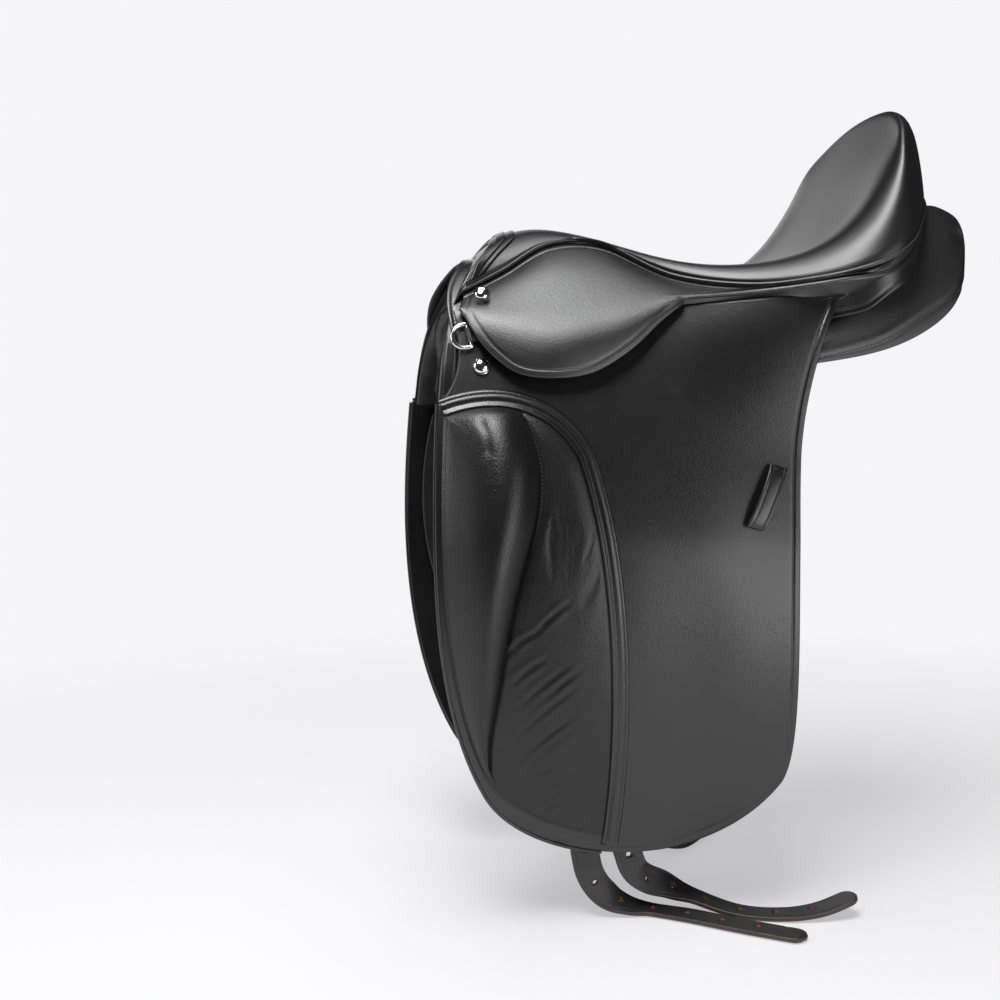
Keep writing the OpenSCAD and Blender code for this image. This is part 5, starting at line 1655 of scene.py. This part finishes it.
@dataclass
class Billet:
    """Girth strap with punched holes, from its webbing to its end on the ground."""

    tools: Tools
    side: Side
    strap: Strap
    width: float = 25
    thick: float = 4
    hole_d: float = 5
    pitch: float = 32
    holes: int = 8
    tip: float = 42
    lie: float = -478
    top_z: float = 54

    def tail(self) -> tuple[list, list]:
        """The part below the flap: its line and the directions of its width."""
        z = self.lie
        if self.strap is Strap.FRONT:
            return ([[-141, -92, -418], [-136, -93, -440], [-124, -90, -458], [-104, -86, -471], [-80, -87, z],
                     [-50, -106, z], [-10, -137, z], [34, -168, z]],
                    [[1, 0, 0], [1, 0, 0.2], [0.8, 0.3, 0.5], [0.4, 0.9, 0.3], [0.3, 1, 0], [0.6, 0.8, 0],
                     [0.68, 0.72, 0], [0.65, 0.75, 0]])
        if self.side is Side.LEFT:
            return ([[-104, -92, -418], [-97, -93, -437], [-84, -88, -449], [-64, -79, -459], [-40, -80, -470],
                     [-6, -101, z], [30, -116, z], [64, -120, -474], [98, -119, -463]],
                    [[1, 0, 0], [0.95, 0.05, 0.32], [0.55, 0.35, 0.72], [0.32, 0.7, 0.6], [0.36, 0.91, 0.12],
                     [0.44, 0.9, 0], [0.2, 0.98, 0], [0, 1, 0], [0, 1, 0]])
        return ([[-104, -92, -418], [-97, -93, -437], [-84, -87, -450], [-64, -75, -459], [-40, -63, -469],
                 [-10, -80, z], [18, -108, z], [44, -136, z], [66, -164, z]],
                [[1, 0, 0], [1, 0.05, 0.3], [0.8, 0.25, 0.6], [0.5, 0.7, 0.5], [0.3, 0.9, 0.2],
                 [0.5, 0.85, 0], [0.7, 0.7, 0], [0.75, 0.66, 0], [0.75, 0.66, 0]])

    def back_in(self, z: Any) -> Array:
        """How far in from the flap's outer face the strap hangs at a height."""
        return (FORM.flap_t + FORM.strap_room + self.thick / 2 + FORM.strap_back * ease((10 - z) / 70)
                + 2.4 * ease((-345 - z) / 60))

    def route(self) -> tuple[Array, Array]:
        """The whole line of the strap and the directions of its width."""
        line, wide = self.tail()
        x0 = -100 if self.strap is Strap.FRONT else -62
        z = np.linspace(self.top_z, -400, 76)
        x = mix(x0, line[0][0], (self.top_z - z) / (self.top_z + 418))
        hang = FORM.lay_on(np.stack([x, z], 1), -self.back_in(z))
        shift = FORM.lay_on(np.array([line[0][0], -418.0]), -self.back_in(-418.0))[1] - line[0][1]
        t = np.linspace(0, 1, 131)
        out = thru(line, t)
        out[:, 1] += shift * (1 - ease(t * 2))
        return np.concatenate([hang, out]), np.concatenate([np.tile([1.0, 0, 0], (76, 1)), thru(wide, t)])

    def build(self) -> None:
        """Makes and places the strap."""
        path, wide = self.route()
        run = np.concatenate([[0], np.cumsum(np.linalg.norm(np.diff(path, axis=0), axis=1))])
        left = run[-1] - run
        h = self.width / 2
        edge = np.array([0, 0.2, 0.6, 1.1, 1.8, 2.4, 2.9, 3.5, 5, 8])
        places = np.concatenate([-h + edge, [0], (h - edge)[::-1]])
        narrow = np.where(left < 11, np.sqrt(np.maximum(1 - ((11 - left) / 11.2) ** 2, 0.04)), 1)
        grid = ribbon(path, wide, places[None] * narrow[:, None], self.thick)
        mid = grid[:, 10]
        outer = np.sign((unit(mid - path) * [0, -1, 0.3]).sum(1)[10])
        if outer < 0:
            grid = ribbon(path, -wide, places[None] * narrow[:, None], self.thick)
        grooves = [Groove(grid[:-8, 0], 2.9, 0.45, 0.35), Groove(grid[:-8, -1], 2.9, 0.45, 0.35)]
        p, q, near = shell(grid.reshape(-1, 3), grid_quads(*grid.shape[:2]), self.thick, grid[10, 10] - path[10], 1.0,
                           grooves)
        s, k = self.side.value, self.strap.value
        obj = make_piece(f"girth_strap_{k}_{s}", p, q, STRAP_LEATHER, self.side)
        obj.data.attributes.new("raw", "FLOAT", "POINT").data.foreach_set("value", bump(near, 0.7).astype(np.float32))
        at = np.array([self.tip + self.pitch * i for i in range(self.holes)])
        spot = np.stack([np.interp(at, left[::-1], path[::-1, i]) for i in range(3)], 1)
        a = unit(np.gradient(path, axis=0))
        up = unit(np.cross(a, wide))
        up = np.stack([np.interp(at, left[::-1], up[::-1, i]) for i in range(3)], 1)
        tool = self.tools.punches.run("punches", [(self.side.place(spot), self.side.place(up))],
                                      Radius=self.hole_d / 2 * MM,
                                      Depth=4 * self.thick * MM, Material=RAW_LEATHER.material())
        cut_away(obj, tool)
        settle(obj, f"billet_{k}_{s}", [f"billet_{k}_{s}", f"billet_{k}_{s}_end"])
        box = np.concatenate([grid[7:14, 4], grid[13, 4:17], grid[14:7:-1, 16]])
        row = drape(self.side.place(box), obj, 0.15)
        settle(self.tools.stitching.sew(f"girth_stitches_{k}_{s}", [row], 3.4), f"billet_{k}_{s}")


@dataclass
class Hardware:
    """Domed nails and dee rings."""

    tools: Tools
    nail_d: float = 14
    dome_h: float = 4.5
    dee_wire: float = 3.6
    dee_len: float = 20
    dee_reach: float = 14.5

    def nail(self, name: str, at: Array, lean: float, long: float) -> bpy.types.Object:
        """A pair of turned, domed nails, left and right."""
        r = self.nail_d / 2
        k = np.linspace(0, 1, 14)
        profile = np.concatenate([[[0.02, -long], [1.2, -long], [1.6, -long + 1], [1.6, -0.2], [r - 0.5, -0.2],
                                   [r, 0.05], [r, 0.35]],
                                  np.stack([(r - 0.25) * np.cos(k * np.pi / 2) + 0.02,
                                            0.5 + (self.dome_h - 0.5) * np.sin(k * np.pi / 2)], 1)])
        turn = np.arange(40) * 2 * np.pi / 40
        ring = np.stack([profile[:, :1] * np.cos(turn), profile[:, :1] * np.sin(turn),
                         np.repeat(profile[:, 1:], 40, 1)], -1)
        a = math.radians(90 - lean)
        y = ring[..., 1] * math.cos(a) - ring[..., 2] * math.sin(a)
        z = ring[..., 1] * math.sin(a) + ring[..., 2] * math.cos(a)
        p = (np.stack([ring[..., 0], y, z], -1) + at).reshape(-1, 3)
        quads = tube_quads(len(profile), 40)
        if (normals_of(p, quads) * (p - p.mean(0))).sum(1).mean() < 0:
            quads = quads[:, ::-1]
        points = np.concatenate([p, Side.RIGHT.place(p)])
        return make_piece(name, points, np.concatenate([quads, quads[:, ::-1] + len(p)]), CHROME, sharp=50)

    def dee(self, side: Side) -> bpy.types.Object:
        """A dee ring of round wire."""
        h, c = self.dee_len / 2, 2.0
        turn = np.linspace(-np.pi / 2, np.pi / 2, 40)
        x0 = -self.dee_reach + h
        bow = np.stack([x0 - h * np.cos(turn), 0 * turn, h * np.sin(turn)], 1)
        bar = np.stack([np.zeros(12), np.zeros(12), np.linspace(h - c, -h + c, 12)], 1)
        top = np.array([[-c, 0, h], [-0.6, 0, h - 0.15], [-0.15, 0, h - 0.6]])
        local = np.concatenate([bow, top, bar, (top * [1, 1, -1])[::-1]])
        y12, x16, z5 = (math.radians(v) for v in (-12, -16, -4.7))
        p = local @ np.array([[math.cos(y12), 0, -math.sin(y12)], [0, 1, 0], [math.sin(y12), 0, math.cos(y12)]])
        p = p @ np.array([[1, 0, 0], [0, math.cos(x16), math.sin(x16)], [0, -math.sin(x16), math.cos(x16)]])
        p = p @ np.array([[math.cos(z5), math.sin(z5), 0], [-math.sin(z5), math.cos(z5), 0], [0, 0, 1]])
        at = FORM.lay_on(np.array([-244.0, 25.5]), self.dee_wire / 2 + 1.6)
        return self.tools.piping.lay(f"dee_ring_{side.value}", [side.place(p + at)], self.dee_wire / 2, CHROME, 0.8,
                                     True)

    def build(self) -> None:
        """Makes and places the nails and the dee rings."""
        pair = self.nail("seat_nails", np.array([-233, -108, 60.0]), 40, 14)
        settle(pair, "saddle", ["saddle_nails"])
        low = FORM.lay_on(np.array([-235.0, 0.0]), 0.8)
        settle(self.nail("flap_studs", low, 14, 12.4), "saddle", ["flap_nails"])
        for side in Side:
            settle(self.dee(side), f"dee_{side.value}", [f"dee_{side.value}"])


@dataclass
class Inside:
    """Solids that keep their shape: the tree, its steel, the webbing, the bars and small leather."""

    finishes: dict = field(default_factory=lambda: {
        "tree_": BEECH, "head_": TREE_STEEL, "seat_webs": WEBBING, "girth_web": WEBBING, "gullet": LINING,
        "point_pocket": FLAP_LEATHER, "stirrup_bar": BAR_STEEL, "catch": BAR_STEEL, "dee_chape": STRAP_LEATHER})

    def build(self) -> None:
        """Dresses each solid that shows."""
        for name, obj in frame["nodes"].items():
            if obj.hide_render:
                continue
            finish = next((f for k, f in self.finishes.items() if name.startswith(k)), None)
            if finish is None:
                LOG.warning("%s keeps its plain finish", name)
                continue
            obj.data.materials.clear()
            obj.data.materials.append(finish.material())
            LOG.info("%s is dressed", name)


@dataclass
class Studio:
    """Pale floor, soft lights and the camera."""

    floor_z: float = -0.4812
    floor_front: float = -0.74
    floor_reach: float = 16
    lens: float = 48.6

    def floor(self) -> None:
        """A pale floor that keeps the shadow and runs into a pale background."""
        shade = Shade("floor_paper")
        shade.set(Base_Color=(0.86, 0.86, 0.87), Roughness=0.9, Specular_IOR_Level=0.1)
        ray = shade.node("ShaderNodeLightPath", out="Is Camera Ray")
        far = shade.node("ShaderNodeVectorMath", {"operation": "LENGTH"}, {0: shade.place()}, "Value").step(0.55, 1.5)
        front = shade.node("ShaderNodeVectorMath", {"operation": "DOT_PRODUCT"}, {0: shade.place(), 1: (0, -1, 0)},
                           "Value").step(0.42, 0.72)
        far = 1 - (1 - far) * (1 - front)
        glow = shade.node("ShaderNodeEmission", None, {"Color": (0.915, 0.91, 0.93, 1)})
        both_ways = shade.node("ShaderNodeMixShader", None,
                               {0: ray * (0.5 + far * 0.5), 1: Val(shade, shade.main.outputs[0]), 2: glow})
        shade.tree.links.new(both_ways.socket, shade.tree.nodes["Material Output"].inputs["Surface"])
        _made["floor_paper"] = shade.mat
        h, near, z = self.floor_reach / MM, self.floor_front / MM, self.floor_z / MM
        corners = np.array([[-h, near, z], [h, near, z], [h, h, z], [-h, h, z]])
        obj = make_piece("floor", corners, np.array([[0, 1, 2, 3]]), Finish("floor_paper"))

    def light(self, name: str, at: tuple, to: tuple, size: tuple, power: float) -> None:
        """One soft box.

        Args:
            name: name of the lamp.
            at: place of the lamp in metres.
            to: point that it looks at.
            size: width and height in metres.
            power: power in watts.
        """
        lamp = bpy.data.lights.new(name, "AREA")
        lamp.shape = "RECTANGLE"
        lamp.size, lamp.size_y = size
        lamp.energy = power
        obj = bpy.data.objects.new(name, lamp)
        obj.visible_camera = False
        obj.location = at
        way = Vector(to) - Vector(at)
        obj.rotation_euler = way.to_track_quat("-Z", "Y").to_euler()
        bpy.context.scene.collection.objects.link(obj)

    def world(self) -> None:
        """Dim surroundings, seen as a pale background."""
        world = bpy.data.worlds.new("surroundings")
        world.use_nodes = True
        tree = world.node_tree
        ground = tree.nodes["Background"]
        ground.inputs["Color"].default_value = (0.8, 0.82, 0.86, 1)
        ground.inputs["Strength"].default_value = 0.03
        seen = tree.nodes.new("ShaderNodeBackground")
        seen.inputs["Color"].default_value = (0.915, 0.91, 0.93, 1)
        path = tree.nodes.new("ShaderNodeLightPath")
        blend = tree.nodes.new("ShaderNodeMixShader")
        tree.links.new(path.outputs["Is Camera Ray"], blend.inputs[0])
        tree.links.new(ground.outputs[0], blend.inputs[1])
        tree.links.new(seen.outputs[0], blend.inputs[2])
        tree.links.new(blend.outputs[0], tree.nodes["World Output"].inputs["Surface"])
        bpy.context.scene.world = world

    def camera(self) -> None:
        """The camera at the photograph's place."""
        cam = bpy.data.cameras.new("camera")
        cam.lens, cam.sensor_width = self.lens, 36
        obj = bpy.data.objects.new("camera", cam)
        obj.location = (-0.3878, -1.2181, -0.0224)
        obj.rotation_euler = (math.radians(85.5), 0, math.radians(-8.7))
        bpy.context.scene.collection.objects.link(obj)
        bpy.context.scene.camera = obj

    def build(self) -> None:
        """Sets the stage."""
        bpy.context.scene.view_settings.view_transform = "Standard"
        self.camera()
        self.floor()
        self.world()
        self.light("key", (-0.6, -0.95, 1.8), (-0.2, -0.14, 0.04), (0.9, 1.4), 58)
        self.light("left", (-2.0, -0.25, 0.5), (-0.1, -0.1, -0.05), (0.5, 1.2), 10)
        self.light("card", (0.58, -1.2, -0.47), (0.58, -1.15, 0.53), (0.8, 1.6), 19)
        self.light("right", (1.12, -1.7, 0.08), (0.03, -0.16, 0.0), (1.0, 0.7), 7)
        self.light("top", (-0.1, 0.2, 2.0), (-0.1, 0, 0), (1.2, 0.9), 9)
        self.light("back", (0.0, 1.2, 0.4), (0.05, 0, 0.15), (0.9, 0.6), 2.6)


def main() -> None:
    """Builds the scene, one sub-assembly after the other."""
    logging.basicConfig(level=logging.INFO, format="%(name)s: %(message)s")
    Studio().build()
    tools = Tools()
    seat = Seat(tools).build()
    Front(tools, seat).build()
    for side in Side:
        Skirt(tools, side).build()
        Flap(tools, side).build()
        KneePad(tools, side).build()
        Cushion(tools, side).build()
        for strap in Strap:
            Billet(tools, side, strap).build()
    Hardware(tools).build()
    Inside().build()


if __name__ == "__main__":
    main()
